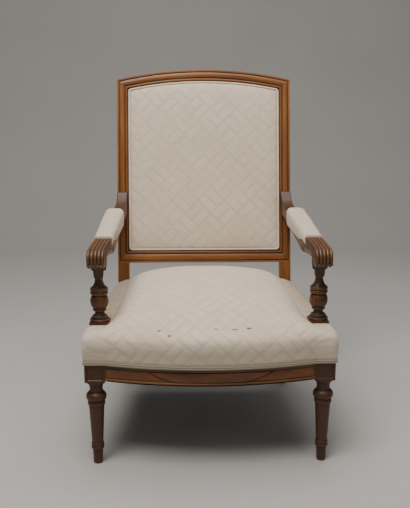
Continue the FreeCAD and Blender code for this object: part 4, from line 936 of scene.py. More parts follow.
def support_turning():
    """The outline of the baluster above its plate."""
    ring, step, waist, disc, vase = 364.0, 371.0, 378.0, 391.0, 397.0
    cap, cap_two, cone, top = 434.0, 443.0, 452.0, support_top_z
    outline = trace(
        (0.0, ring - 1.0), ((24.0, ring - 1.0),), ((24.0, ring),), ((25.5, ring + 3.5), (24.0, step)),
        ((21.0, step),), ((19.5, waist),), ((12.2, waist + 7.8), (13.7, disc)), ((16.0, disc),),
        ((17.5, disc + 3.0), (16.0, vase)), ((23.5, vase + 16.6), (17.0, cap)), ((21.5, cap),),
        ((23.0, cap + 4.5), (21.5, cap_two)), ((20.0, cap_two),), ((23.0, cap_two + 4.5), (21.5, cone)),
        ((20.0, cone),), ((12.0, cone + 12.2), (10.5, top)), ((7.0, top),), ((7.0, top + 22.0),),
        ((0.0, top + 22.0),), fine=12)
    return dense(eased(outline, 0.6), 3.0)


def rounded_block(half, low, high, ease, corner):
    """A square column closed at both ends, its edges eased."""
    levels = [(low, half), (low, ease), (low + ease * 0.3, ease * 0.3), (low + ease, 0.0)]
    levels += [(z, 0.0) for z in np.linspace(low + ease, high - ease, 5)[1:-1]]
    levels += [(high - ease, 0.0), (high - ease * 0.3, ease * 0.3), (high, ease), (high, half)]
    return square_column((support_x, support_y), half, levels, corner)


right_support = [turned(support_turning(), (support_x, support_y)),
                 rounded_block(plate_half, plate_low, plate_high, 1.2, 1.5),
                 rounded_block(17.0, rail_top - 44.0, plate_low + 1.0, 0.8, 1.0)]
wooden_pair("arm_support", right_support, turned_wood, "arm_post")

# %% [markdown]
# ## Arms
# From the stile each arm sweeps down, runs forward under its pad and ends in a scroll cut
# with five reeds. It is the loft of the rear posts again, between a top and an underside.
# The underside dips into the neck that stands on the arm support, and at the front both
# chains go round the scroll until they meet. The reeds are relief across the upper side.

# %% Arm chains
scroll_r, scroll_y, scroll_z = 24.0, 22.0, 535.0
tail_top_z, arm_end_z = 627.4, 560.0
reed_count, reed_depth = 5, 3.6
reeds_above, reeds_below = (78, 92), (146, 158)
neck_half = 11.5


def stile_front(z):
    """The depth of the stile's front face at a height."""
    return back_front_y + (z - back_bottom_z) * math.tan(rake)


def around(first, last, count):
    """Points round the scroll between two angles in degrees."""
    angle = np.radians(np.linspace(first, last, count))
    return np.stack([scroll_y + scroll_r * np.cos(angle), scroll_z + scroll_r * np.sin(angle)], -1)


def arm_chains():
    """The arm's top and underside in four matched runs: tail, pad, neck and scroll."""
    tail_y = stile_front(tail_top_z)
    tail = trace((tail_y, tail_top_z), ((tail_y - 4.0, tail_top_z),),
                 ((506.0, 593.0), (440.0, 583.0)), fine=24)
    tops = [
        spread(tail, 40),
        spread([(440.0, 574.0), (105.0, 562.2)], 40),
        spread(trace((105.0, 571.2), ((60.0, 567.0), (scroll_y, scroll_z + scroll_r)), fine=20), 60),
        around(90, 212, 44)[1:],
    ]
    neck = trace((138.0, 524.0), ((92.0, 511.0), (support_y + neck_half, support_top_z)), fine=20)
    seat = spread([neck[-1], (support_y - neck_half, support_top_z)], 8)[1:-1]
    behind = around(-16, -16, 1)[0]
    front = trace((support_y - neck_half, support_top_z), ((48.5, 505.0), tuple(behind)), fine=12)
    lows = [
        spread([(stile_front(arm_end_z), arm_end_z), (440.0, 549.0)], 40),
        spread(trace((440.0, 549.0), ((300.0, 536.0), (138.0, 524.0)), fine=30), 40),
        np.concatenate([spread(neck, 30), seat, spread(front, 24)]),
        around(-16, -148, 44)[1:],
    ]
    return np.concatenate(tops), np.concatenate(lows)


print("arm rings:", len(arm_chains()[0]))

# %% [markdown]
# Seen from above, the arm grows slimmer towards the stile and has a narrow neck over its
# support. Two smooth curves through a few measured widths say where its sides are.

# %% Arm widths
def flowing(at, places, values):
    """A smooth curve through values at rising places: cubic Hermite pieces whose slopes
    are the mean of the neighbouring chords."""
    places, values = np.array(places, float), np.array(values, float)
    chords = np.diff(values) / np.diff(places)
    slopes = np.concatenate([[chords[0]], (chords[1:] + chords[:-1]) / 2, [chords[-1]]])
    at = np.clip(at, places[0], places[-1])
    k = np.clip(np.searchsorted(places, at, side="right") - 1, 0, len(places) - 2)
    width = places[k + 1] - places[k]
    t = (at - places[k]) / width
    rise = values[k] * (1 + 2 * t) * (1 - t) ** 2 + values[k + 1] * t * t * (3 - 2 * t)
    return rise + width * (slopes[k] * t * (1 - t) ** 2 - slopes[k + 1] * t * t * (1 - t))


def arm_edges(y, z):
    """Inner and outer side of the right arm, narrowed to the support in the neck."""
    ends = stile_front(tail_top_z)
    inner = flowing(y, [scroll_y, 60, 100, 270, 440, 500, ends],
                    [261, 256.0, 251.0, 248.0, 245.5, 242.5, 238.5])
    outer = flowing(y, [scroll_y, 60, 100, 270, 440, 475, 510, ends],
                    [305, 299.5, 294.6, 292.0, 289.0, 282.5, 273.5, 270.5])
    near = smooth_step(y, 42.0, 54.0) * (1 - smooth_step(y, 95.0, 150.0))
    neck = smooth_step(-z, -546.0, -512.0) * near
    inner = inner + (support_x - neck_half - inner) * neck
    return inner, outer + (support_x + neck_half - outer) * neck


print("arm sides at its middle:", [round(float(x), 1) for x in arm_edges(270.0, 560.0)])

# %% [markdown]
# The reeds could be five separate rods, but the real ones are cut into the arm, so the
# grooves between them close to nothing. Relief across the loft gives that. The same
# relief says where wax lies and where hands have worn the wood.

# %% Reeds and arms
def reeds(across):
    """Five round reeds side by side: over one reed the height is the root of 1 - c*c,
    where c runs from -1 to 1 across it. They fade where the pad begins."""
    c = 2 * ((across + 1) / 2 * reed_count % 1) - 1
    ridge = np.sqrt(1 - (0.94 * c) ** 2)
    row = np.arange(len(arm_chains()[0]))
    shown = np.stack([smooth_step(row, *reeds_above), smooth_step(row, *reeds_below)], 1)
    return reed_depth * (ridge[None, None] - 1) * shown[:, :, None]


def arm_surface():
    """The loft with its reeds. Grooves between the reeds are marked hollow, tops worn."""
    top, low = arm_chains()
    points = chain_loft(top, low, arm_edges, 2.6, reeds)
    across = len(lanes)
    sides = points.shape[1] - 2 * across
    lift = reeds(lanes) / -reed_depth
    cut = np.zeros(points.shape[:2])
    cut[:, :across] = lift[:, 0]
    under = smooth_step(np.arange(len(top)), 150, reeds_below[1])[:, None]
    cut[:, across + sides // 2:2 * across + sides // 2] = lift[:, 1, ::-1] * under
    worn = np.zeros_like(cut)
    worn[:, :across] = 0.35 * (lift[:, 0] < 0.12) * smooth_step(np.arange(len(top)), *reeds_above)[:, None]
    return Surface(points, (False, True), points[..., [1, 0, 2]], np.clip(cut * 1.25 - 0.1, 0, 1), worn)


wooden_pair("arm_carved", ends_closed(arm_surface()), arm_wood, "arm", 50)

# %% [markdown]
# ## Fabrics
# The chair wears a cream damask with a woven basket of broad slanted bars, tone on tone.
# The weave follows the cloth map, which lies on the fabric in metres. The bars shine a
# little more than their ground. An image of cloth would be quicker, but it repeats and
# has one scale, while arithmetic on the map is sharp at any distance. The arm pads wear a
# knotted cloth, and the braid and the hidden cloths are plainer weaves.

# %% Damask
cream = (0.760, 0.640, 0.500, 1)
cream_shade = (0.630, 0.525, 0.405, 1)
cream_light = (0.830, 0.730, 0.600, 1)
# soil_and_shade is one colour for real dirt in random patches and for painted shade where the hollow mark is
# set
soil_and_shade = (0.34, 0.26, 0.175, 1)
# cord_gap_shade is painted shade for the gaps between a braid's cords
cord_gap_shade = (0.20, 0.145, 0.095, 1)
stain = (0.055, 0.040, 0.032, 1)


def damask(name, cell=57.0, shift=(0.0, 0.0), marks=(), contrast=1.0):
    """A basket weave turned by 45 degrees. With p = (u + v) / root 2 and q = (v - u) / root 2
    the cloth is divided into square cells. A cell holds two broad bars side by side, along
    p where the cell's numbers add up to an even number, and along q elsewhere. marks are
    worn spots: places and half sizes in metres."""
    f = Finish(name)
    place = f.cloth((*shift, 0.0))
    u, v, _ = f.parts(place)
    p = (u + v) * (math.sqrt(0.5) / cell)
    q = (v - u) * (math.sqrt(0.5) / cell)
    whole = (p.math("FLOOR") + q.math("FLOOR")) * 0.5
    odd = ((whole - whole.math("FLOOR")) * 2).math("ROUND")
    p_part, q_part = p - p.math("FLOOR"), q - q.math("FLOOR")
    along = p_part + (q_part - p_part) * odd
    over = (q_part + (p_part - q_part) * odd) * 2
    over = over - over.math("FLOOR")
    ends = (along * (1 - along) * 4).step(0.04, 0.50)
    faded = f.noise(f.scaled(place, (0.011, 0.011, 1), (3, 7, 0)), 1.0, 2.0).step(0.30, 0.62)
    bars = (over * (1 - over) * 4).step(0.10, 0.85) * ends * (0.35 + 0.65 * faded)
    warp = (u * (2 * math.pi / 0.9)).math("SINE") * 0.5 + 0.5
    weft = (v * (2 * math.pi / 0.8)).math("SINE") * 0.5 + 0.5
    slub = f.noise(f.scaled(place, (0.35, 3.0, 1)), 1.0, 3.0)
    cloud = f.noise(f.scaled(place, (0.008, 0.008, 1)), 1.0, 4.0, 0.6)
    mottle = f.noise(f.scaled(place, (0.07, 0.07, 1), (4, 2, 0)), 1.0, 3.0)
    colour = f.mix(cream_shade, cream, (cloud * 0.9 + 0.25 * slub + 0.10).step(0.2, 0.95))
    colour = f.mix(colour, cream_light, bars * 0.34 * contrast)
    colour = f.mix(colour, cream_shade, (1 - bars) * (0.30 * contrast) * mottle)
    colour = f.mix(colour, soil_and_shade, (cloud * 0.6 + mottle * 0.5).step(0.62, 0.86) * 0.25)
    # Painted shade: the cloth is darkened where the mesh's hollow mark is set, in the seat's creases and side
    # bands, round the plates, above the gimp and along the back's edges
    colour = f.mix(colour, soil_and_shade, f.mark("hollow") * 0.55)
    for x, y, half_x, half_y in marks:
        seen_x, seen_y, _ = f.parts(f.seen())
        dx = (seen_x - x) / half_x
        dy = (seen_y - y) / half_y
        ragged = dx * dx + dy * dy + 1.6 * f.noise(place, 0.35, 4.0) - 0.8
        colour = f.mix(colour, stain, (1 - ragged.step(0.45, 1.1)) * 0.8)
    rough = 0.86 - 0.20 * bars * contrast + 0.08 * slub
    height = 1.1 * bars * contrast + 0.12 * warp + 0.12 * weft + 0.18 * slub
    return f.finish(colour, rough, height, 0.0010, 0.60, sheen_weight=0.25, sheen_roughness=0.45)


print("damask colours:", cream[:3], cream_shade[:3])

# %% [markdown]
# The trimmings need finer weaves. The gimp and the piping show twisted threads, and the
# arm pads' cloth has pale knots a few millimetres apart. Noise that is cut off by a smooth
# step gives the knots, where a Voronoi texture would give cells of one size.

# %% Thread and knots
def braid_finish(name, thread):
    """A plain cream thread: fine ribs across and along the cloth map."""
    f = Finish(name)
    place = f.cloth()
    u, v, _ = f.parts(place)
    twist = ((u + v) * (2 * math.pi / thread)).math("SINE") * 0.5 + 0.5
    rib = ((u - v * 0.7) * (2 * math.pi / thread)).math("SINE") * 0.5 + 0.5
    fuzz = f.noise(place, 0.9, 3.0)
    colour = f.mix(cream_shade, cream_light, 0.60 + 0.45 * twist * rib + 0.25 * (fuzz - 0.5))
    # Painted shade: darker in the gaps between the cords, where the hollow mark is set
    colour = f.mix(colour, cord_gap_shade, f.mark("hollow"))
    height = 0.5 * twist + 0.4 * rib + 0.5 * fuzz
    return f.finish(colour, 0.84 + 0.08 * fuzz, height, 0.0004, 0.6, sheen_weight=0.3)


def nubbly(name):
    """A looped cloth: pale knots 4 to 6 mm apart, with shaded ground between them."""
    f = Finish(name)
    place = f.cloth()
    knots = f.noise(f.scaled(place, (0.26, 0.20, 1)), 1.0, 2.0).step(0.38, 0.60)
    fine = f.noise(place, 0.8, 3.0)
    colour = f.mix(cream_shade, cream_light, 0.10 + 0.80 * knots + 0.30 * (fine - 0.5))
    colour = f.mix(colour, soil_and_shade, (1 - knots) * 0.35 * fine)
    # Painted shade: darker along the pad's lowest edge, where the hollow mark is set
    colour = f.mix(colour, soil_and_shade, f.mark("hollow") * 0.55)
    return f.finish(colour, 0.90 - 0.08 * knots, knots + 0.4 * fine, 0.0014, 0.8, sheen_weight=0.25)


print("thread finishes ready")

# %% [markdown]
# The hidden cloths have no cloth map, because the CAD's own solids show them. They read
# Object coordinates, and so does the steel of springs, tacks and screws.

# %% Weave and metal
def plain_weave(name, first, second, thread, rough=0.9):
    """Warp and weft on Object coordinates, for cloths that have no cloth map."""
    f = Finish(name)
    seen = f.seen()
    x, y, z = f.parts(seen)
    turns = 2 * math.pi / thread
    over = ((x * turns).math("SINE") * ((y + z) * turns).math("SINE")) * 0.5 + 0.5
    fuzz = f.noise(seen, 260.0, 4.0, 0.6)
    colour = f.mix(first, second, (0.6 * over + 0.6 * fuzz - 0.1))
    return f.finish(colour, rough - 0.06 * fuzz, over + 0.6 * fuzz, 0.0008, 0.7)


def metal(name, first, second, rough):
    """Steel with a brushed and slightly stained surface."""
    f = Finish(name)
    stained = f.noise(f.seen(), 180.0, 4.0, 0.6)
    colour = f.mix(first, second, stained.step(0.35, 0.7))
    return f.finish(colour, rough + 0.25 * stained, stained, 0.0002, 0.3, metallic=1.0)


print("weave and metal ready")

# %% [markdown]
# Now the finishes themselves. The seat has a few small worn spots near its front roll,
# given as places and half sizes in metres.

# %% Fabric finishes
seat_spots = [(-0.1269, -0.3375, 0.0050, 0.0026), (-0.1011, -0.3535, 0.0050, 0.0026),
              (0.0126, -0.3395, 0.0070, 0.0016), (0.0593, -0.3395, 0.0080, 0.0020),
              (0.0940, -0.3355, 0.0075, 0.0030)]
seat_damask = damask("damask_seat", 54.0, (0.0, 0.0), seat_spots, 1.45)
back_damask = damask("damask_back", 57.6, (20.0, -109.0))
pad_finish = nubbly("nubbly_arm_pads")
plain_damask = damask("damask_outside_back", 57.6, (0.0, 0.0), (), 0.8)
gimp_finish = braid_finish("gimp_braid", 1.5)
piping_finish = braid_finish("piping_cloth", 1.2)
under_cloth = plain_weave("bottom_cloth", (0.028, 0.026, 0.025, 1), (0.055, 0.052, 0.050, 1), 0.0016)
jute = plain_weave("jute_webbing", (0.28, 0.19, 0.10, 1), (0.42, 0.31, 0.18, 1), 0.0040)
screw_steel = metal("screw_steel", (0.42, 0.41, 0.40, 1), (0.25, 0.23, 0.21, 1), 0.28)
blued_steel = metal("blued_steel", (0.045, 0.055, 0.085, 1), (0.09, 0.075, 0.06, 1), 0.35)
coppered_wire = metal("coppered_wire", (0.62, 0.32, 0.19, 1), (0.33, 0.19, 0.12, 1), 0.30)
print("fabric finishes ready")

# %% [markdown]
# ## Seat cover
# The seat is stuffed high: an upright edge that bulges over the rail, a soft roll, and a
# crown that rises to the middle. Beside the crown the cloth is pulled down into a crease
# that runs from the arm support to the stile. The cover is a fan of rings: outside, rings
# climb the edge; inside, they shrink to a line in the middle of the seat, and the crown's
# height is a function of x and y.

# %% Seat height
seat_edge_z, seat_roll_z, seat_crown_z, seat_crown_y = 358.7, 369.0, 440.0, 300.0
crown_rear_z, crease_rear_x = 379.0, 236.0
rail_front_y = -leg_half - rail_bow
rear_rail_front_y, rear_rail_back_y = post_front_y + 5.0, post_front_y + 31.0
crease_front_x = support_x - plate_half - 3.0


def crown_height(y):
    """The crown on the middle line: two power curves that meet at its highest point."""
    front = np.clip((seat_crown_y - y) / (seat_crown_y - rail_front_y - 13.0), 0, 1.2) ** 2.6
    rear = np.clip((y - seat_crown_y) / (rear_rail_front_y - seat_crown_y), 0, 1.3) ** 2
    return np.where(y < seat_crown_y, seat_crown_z - (seat_crown_z - seat_roll_z - 1.0) * front,
                    seat_crown_z - (seat_crown_z - crown_rear_z) * rear)


def crease_line(y):
    """Half the width between the creases at a depth."""
    slope = (crease_rear_x - crease_front_x) / (post_front_y - support_y)
    behind = crease_front_x + slope * (y - support_y)
    return np.where(y > support_y, behind, crease_front_x + 0.4 * (support_y - y))


def seat_height(x, y):
    """Edge height plus the crown's rise: the rise falls a little from the middle to the
    shoulder, then quickly, as 1 - exp(-(u / 25) ** 1.1), where u is the way to the
    crease. Under the arm supports' plates the cloth is pressed down, and folds run out
    of their corners."""
    ax = np.abs(x)
    foot = crease_line(y)
    u = foot - ax
    front = 1 - smooth_step(y, rail_front_y, seat_crown_y / 2)
    arch = 1 - (0.42 + 0.20 * front) * np.clip(ax / foot, 0, 1) ** 2.2
    flank = 1 - np.exp(-(np.maximum(u, 0) / (25.0 + 14 * front)) ** 1.1)
    z = seat_edge_z + (crown_height(y) - seat_edge_z) * arch * flank
    z = z - 3.0 * np.exp(-((u - 3) / 7.0) ** 2) * smooth_step(y, 80, 120)
    band = np.clip(-u / 40.0, 0, 1)
    z = z - 1.6 * np.sin(math.pi * band) * (y > 70) * (u < 0)
    z = z + 7.0 * smooth_step(y, 330.0, 480.0) * smooth_step(u, -34, 0)
    dx = np.maximum(np.abs(ax - support_x) - plate_half, 0)
    dy = np.maximum(np.abs(y - support_y) - plate_half, 0)
    away = np.hypot(dx, dy)
    angle = np.arctan2(y - support_y, ax - support_x)
    z = z + 0.9 * np.cos(11 * angle) * np.exp(-away / 14.0) * (1 - np.exp(-away / 5.0))
    z = np.where(away < 26, soft_min(z, seat_edge_z + 0.2 + away * 1.25, 3.0), z)
    sway = np.sin(x / 47 + 0.7) * np.sin(y / 39) + 0.6 * np.sin(x / 23 - 1.2) * np.sin(y / 31 + 2)
    return z + 0.55 * sway * np.clip(u / 60, 0, 1)


print("seat crown at", round(float(seat_height(0.0, seat_crown_y)), 1), "mm")

# %% [markdown]
# ### The rings of the seat cover
# Every ring has the same number of points, so the rings make one grid: front bow, leg
# block, rounded corner, straight side, notch at the rear post and rear edge. A plain grid
# over the top would be simpler, but it could not follow the corners down the edge.

# %% Seat outline
def half_outline(front, side, rear, corner):
    """Half of the seat's plan, from the middle of the front to the middle of the rear,
    always with the same number of points: bow, leg block, corner, side, notch, rear."""
    across = math.sqrt((bow_radius + front) ** 2 - (bow_centre_y + leg_half + front) ** 2)
    across = min(across, leg_outer_x + side - corner - 4.0)
    reach = math.asin(across / (bow_radius + front))
    a = np.linspace(0, reach, 60)
    bow = joined((bow_radius + front) * np.sin(a), bow_centre_y - (bow_radius + front) * np.cos(a))
    y = -leg_half - front
    x = leg_outer_x + side
    block = np.linspace(bow[-1], (x - corner, y), 9)[1:]
    b = np.linspace(0, math.pi / 2, 15)[1:]
    bend = joined(x - corner + corner * np.sin(b), y + corner - corner * np.cos(b))
    kink = leg_half + (corner - front) / 2
    straight = np.linspace((x, y + corner), (x, kink), 6)[1:]
    lean = (post_outer_x - leg_outer_x) / (post_front_y - kink)
    stop = post_front_y - 1.0
    end_x = x + lean * (stop - kink)
    run = np.linspace((x, kink), (end_x, stop), 76)[1:]
    notch_x = post_inner_x - 1.0
    notch = np.linspace((end_x, stop), (notch_x, stop), 14)[1:]
    rear_y = rear_rail_back_y + rear
    inward = np.linspace((notch_x, stop), (notch_x, rear_y), 14)[1:]
    last = np.linspace((notch_x, rear_y), (0.0, rear_y), 50)[1:]
    return np.concatenate([bow, block, bend, straight, run, notch, inward, last])


def outline(front, side, rear, corner):
    """The whole closed plan, right half and mirrored left half."""
    right = half_outline(front, side, rear, corner)
    left = right[-2:0:-1] * (-1, 1)
    return np.concatenate([right, left])


print("points in a seat ring:", len(outline(2.3, 2.3, 2.3, 5.0)))

# %% [markdown]
# The edge levels say how far the cover stands out at each height: little at the gimp, most
# where the edge roll bulges, then inwards over the roll. Inside, the rings shrink to a
# line. A soft minimum lets the roll and the crown meet without a fold.

# %% Seat rings
edge_levels = np.array([
    # height, front, side and rear overhang, corner radius
    [276.0, 2.3, 2.3, 2.3, 5.0], [288.0, 2.6, 2.5, 2.3, 6.0], [304.0, 6.6, 4.0, 3.0, 9.0],
    [324.0, 11.6, 5.0, 3.0, 15.0], [340.7, 11.2, 4.0, 2.0, 21.0], [351.7, 6.4, -0.5, -2.0, 25.0],
    [361.7, -3.0, -11.0, -8.0, 28.0], [369.0, -14.0, -26.0, -16.0, 31.0]])


edge_rings = 46


def seat_rings():
    """The rings outside the crown, evenly spread between the edge levels, then rings that
    shrink to the middle line. All but the skirt are topped by the seat's height."""
    at = np.linspace(0, len(edge_levels) - 1, edge_rings)
    steps = np.arange(len(edge_levels))
    smooth = np.stack([flowing(at, steps, edge_levels[:, k]) for k in range(5)], -1)
    rings = np.array([outline(*level[1:]) for level in smooth])
    z = np.broadcast_to(smooth[:, :1], rings.shape[:2])
    last = rings[-1]
    middle = np.stack([0 * last[:, 0], 240 + 150 * np.tanh((last[:, 1] - 240) / 150)], -1)
    share = (np.linspace(0, 1, 56)[1:] ** 1.06)[:, None, None]
    inner = last + (middle - last) * share
    steep = 0.66 + 6 * smooth_step(last[:, 1], 10.0, 60.0)
    inner_z = seat_roll_z + steep * np.linalg.norm(inner - last, axis=-1)
    plan = np.concatenate([rings, inner])
    height = np.concatenate([z, inner_z])
    top = seat_height(plan[..., 0], plan[..., 1])
    z = np.where(height < 330, height, soft_min(height, top, 9.0))
    return plan, z, last


print("seat rings:", len(seat_rings()[1]))


# %% [markdown]
# The damask has to lie on the cover as cloth does. Unwrapping would cut seams. Instead the
# top keeps its own plan as cloth map, and the edge goes on outwards by the length of cloth
# from the roll down.

# %% Seat cover
def seat_cloth_map(plan, z, last):
    """Cloth coordinates: inside, the place in plan; outside, the ring's place pushed out
    by the length of cloth from the last ring down the edge."""
    points = np.concatenate([plan, z[..., None]], -1)
    steps = np.linalg.norm(np.diff(points, axis=0), axis=-1)
    down = np.cumsum(steps[:edge_rings - 1][::-1], 0)[::-1]
    down = np.concatenate([down, np.zeros((1, down.shape[1]))])
    way = np.roll(last, -2, 0) - np.roll(last, 2, 0)
    out = np.stack([way[:, 1], -way[:, 0]], -1)
    out /= np.linalg.norm(out, axis=1, keepdims=True)
    square = np.where(np.abs(out[:, :1]) > 0.8, [[1.0, 0.0]], [[0.0, 1.0]]) * np.sign(out)
    cloth = plan.copy()
    cloth[:edge_rings] = last[None] + square[None] * down[..., None]
    return cloth


def seat_shade(x, y, z):
    """How much dust and shade the cover holds: along the creases, round the supports'
    plates, on the side bands, and in the turn just above the gimp."""
    x = np.abs(x)
    on_top = z > 350
    crease = 0.9 * np.exp(-((crease_line(y) - x) / 4.0) ** 2) * (y > 60)
    near_plate = np.maximum(np.abs(x - support_x), np.abs(y - support_y)) - plate_half
    shade = np.clip((crease + 0.8 * np.exp(-np.maximum(near_plate, 0) / 3.0)) * on_top, 0, 1)
    band = 0.85 * smooth_step(x - crease_line(y), -2, 6) * (y > 75) * (z > 345)
    skirt = 0.9 * np.exp(-((z - 288.0) / 2.4) ** 2)
    return np.maximum(np.maximum(shade, band), skirt)


def cloth_thickness(made):
    """Gives a stretched cover the thickness of its cloth, inwards."""
    thick = made.modifiers.new("cloth_thickness", "SOLIDIFY")
    thick.thickness, thick.offset = 0.0012, -1.0


plan, z, last_ring = seat_rings()
seat_points = joined(plan[..., 0], plan[..., 1], z)
shade = seat_shade(plan[..., 0], plan[..., 1], z)
cloth = seat_cloth_map(plan, z, last_ring)
cloth = np.concatenate([cloth, cloth[:, :1]], 1)
seat_surface = Surface(seat_points, (False, True), hollow=shade, cloth=cloth)
seat = piece("seat_cover_damask", [seat_surface], seat_damask,
             ["seat_cover", "seat_stuffing", "spring_hessian"])
cloth_thickness(seat)

# %% [markdown]
# ## Back cover
# The back is a shallow pad: a grid over the opening whose height follows a quarter
# ellipse with the distance to the nearest edge. Near the edges small pulls show where
# the cloth was tacked down tight.

# %% Back pad
def arch_v(x, inset):
    """Height of the opening's arched top at x, drawn in by an inset."""
    return top_centre_v + np.sqrt((top_radius - top_face - inset) ** 2 - x ** 2)


pad_inset = 6.4


def back_pad():
    """x runs from side to side and v from the lower edge to the arch. The pad's height is
    crown * sqrt(1 - (1 - d / run) ** 2), where d is the distance to the edges, combined
    so that it has no ridge at the corners."""
    half = opening_half - pad_inset
    low = lower_face + pad_inset
    share = np.sin(np.linspace(-1, 1, 150) * math.pi / 2) * 0.35 + np.linspace(-1, 1, 150) * 0.65
    x = (half * share)[:, None] + 0 * share[None]
    t = (share[None] + 1) / 2
    top = arch_v(x, pad_inset)
    v = low + (top - low) * t
    gaps = np.stack([half - np.abs(x), v - low, top - v])
    run = np.array([150.0, 190.0, 190.0])[:, None, None]
    rise = np.sqrt(np.maximum(1 - (1 - np.clip(gaps / run, 0, 1)) ** 2, 0))
    rise = np.prod(rise ** 0.85, 0)
    pull_low = np.cos(x * 2 * math.pi / 37.0) * np.exp(-gaps[1] / 26.0)
    pull_side = np.cos(v * 2 * math.pi / 41.0 + 0.8) * np.exp(-gaps[0] / 22.0)
    pull_top = np.cos(x * 2 * math.pi / 44.0 + 1.0) * np.exp(-gaps[2] / 20.0)
    sway = np.sin(x / 61 + 0.4) * np.sin(v / 52) + 0.5 * np.sin(x / 29 + 2) * np.sin(v / 37 + 1)
    pulls = 0.7 * (pull_low + 0.8 * pull_side + 0.5 * pull_top) + 0.5 * sway
    w = -2.0 + (18.3 + pulls) * rise
    body = np.stack([x, v, w], -1)
    edge = np.concatenate([body[:, 0], body[-1, 1:], body[::-1, -1][1:], body[0, ::-1][1:-1]])
    drop = np.stack([edge, edge - (0, 0, 8.0)])
    return body, drop


body, drop = back_pad()


def on_back(flat):
    """Flat drawing points leaned into place."""
    return leaned(flat[..., 0], flat[..., 1], flat[..., 2])


# Painted shade: the cover is marked hollow within a few millimetres of its sides and lower edge, and on its
# drop into the rebate, so the damask darkens there
to_side = opening_half - pad_inset - np.abs(body[..., 0])
near_edge = np.exp(-np.minimum(to_side, body[..., 1] - lower_face - pad_inset) / 3.0)
drop_cloth = np.concatenate([drop, drop[:, :1]], 1)[..., :2]
back_surfaces = [Surface(on_back(body), cloth=body[..., :2], hollow=0.5 * near_edge),
                 Surface(on_back(drop), (False, True), cloth=drop_cloth, hollow=0.8)]
back = piece("back_cover_damask", back_surfaces, back_damask,
             ["back_cover", "back_stuffing", "back_hessian"], outward=False)
cloth_thickness(back)

# %% [markdown]
# ## Piping
# A cord sewn into the same cloth hides the tacks between the back cover and the wood. A
# bevelled curve would do, but a tube of rings keeps the cloth map straight along the cord.

# %% Piping
def back_loop(inset, corner, count):
    """The opening's outline drawn in by an inset, as an even loop with round corners."""
    half, low = opening_half - inset, lower_face + inset
    radius = top_radius - top_face - inset
    centre_x = half - corner
    centre_v = top_centre_v + math.sqrt((radius - corner) ** 2 - centre_x ** 2)
    lean = math.atan2(centre_x, centre_v - top_centre_v)
    a = np.linspace(0, math.pi / 2, 10)
    b = np.linspace(0, math.pi / 2 - lean, 10)
    arch = np.linspace(lean, 0, 60)
    right = np.concatenate([
        [(0.0, low)],
        joined(centre_x + corner * np.sin(a), low + corner - corner * np.cos(a)),
        joined(centre_x + corner * np.cos(b), centre_v + corner * np.sin(b)),
        joined(radius * np.sin(arch), top_centre_v + radius * np.cos(arch))])
    loop = np.concatenate([right, right[-2::-1] * (-1, 1)])
    return spread(loop, count + 1)[:-1]


def tube(path, radius, sides, wobble):
    """Circles at right angles to a closed path in space, radius 1 + wobble sin along it."""
    way = np.roll(path, -1, 0) - np.roll(path, 1, 0)
    way /= np.linalg.norm(way, axis=1, keepdims=True)
    out = np.cross(way, (0.0, -math.cos(rake), math.sin(rake)))
    out /= np.maximum(np.linalg.norm(out, axis=1, keepdims=True), 1e-9)
    up = np.cross(out, way)
    angle = np.linspace(0, 2 * math.pi, sides, endpoint=False)[None, :, None]
    size = radius * (1 + wobble * np.sin(np.arange(len(path)) * 0.9))[:, None, None]
    return path[:, None] + size * (np.cos(angle) * out[:, None] + np.sin(angle) * up[:, None])


loop = back_loop(4.0, 7.0, 900)
path = leaned(loop[:, 0], loop[:, 1], -0.3 + 0 * loop[:, 0])
rings = tube(path, 3.0, 14, 0.015)
run = np.arange(901)[:, None] * 2.4
piping_cloth = joined(run, np.arange(15)[None] * 1.35)
piping = Surface(rings, (True, True), cloth=piping_cloth)
piece("back_piping_cord", [piping], piping_finish, ["back_piping"])

# %% [markdown]
# ## Arm pads
# Each pad is stuffed over the arm and covered with a nubbly cream cloth. Its section is a
# rounded box that grows wider and higher towards the back. Rows of that section run along
# the arm. The front end is cut straight, the rear end is drawn together round.

# %% Arm pads
pad_front_y, pad_rear_y = 105.0, 440.0
arm_top_front_z, arm_top_rear_z = 571.0, 583.0


def along_pad(share):
    """Half width, skirt height, wood height, crown height and middle x at a share of the
    length."""
    wood_z = arm_top_front_z + (arm_top_rear_z - arm_top_front_z) * share
    top = wood_z + 5.0 + 12.0 * share
    side = top - 26.0 - 34.0 * share * (1.35 - 0.62 * share)
    return 24.3 + 3.7 * share, side, wood_z - 9.0, top, 274.0 - 5.5 * share


def pad_ring(share):
    """One section: a superellipse above the skirt, |x|**3.6 + |z|**2.4 = 1, then walls
    down to the skirt and a closed underside at the arm's recess."""
    half, low, recess, top, centre = along_pad(share)
    a = np.linspace(0, math.pi, 49)
    waist = top - 17.0
    x = np.sign(np.cos(a)) * np.abs(np.cos(a)) ** (2 / 3.6) * half
    z = waist + np.abs(np.sin(a)) ** (2 / 2.4) * (top - waist)
    wall = np.linspace(1, 0, 7)[1:]
    left = np.stack([-half + 1.6 * (1 - wall) ** 2, low + (waist - low) * wall], -1)
    under = [(-half + 2.8, low - 0.3), (-half + 4.4, low + 1.5), (-half + 4.4, recess), (0.0, recess),
             (half - 4.4, recess), (half - 4.4, low + 1.5), (half - 2.8, low - 0.3)]
    right = left[::-1] * (-1, 1)
    return np.concatenate([np.stack([x, z], -1), left, under, right]) + (centre, 0.0)


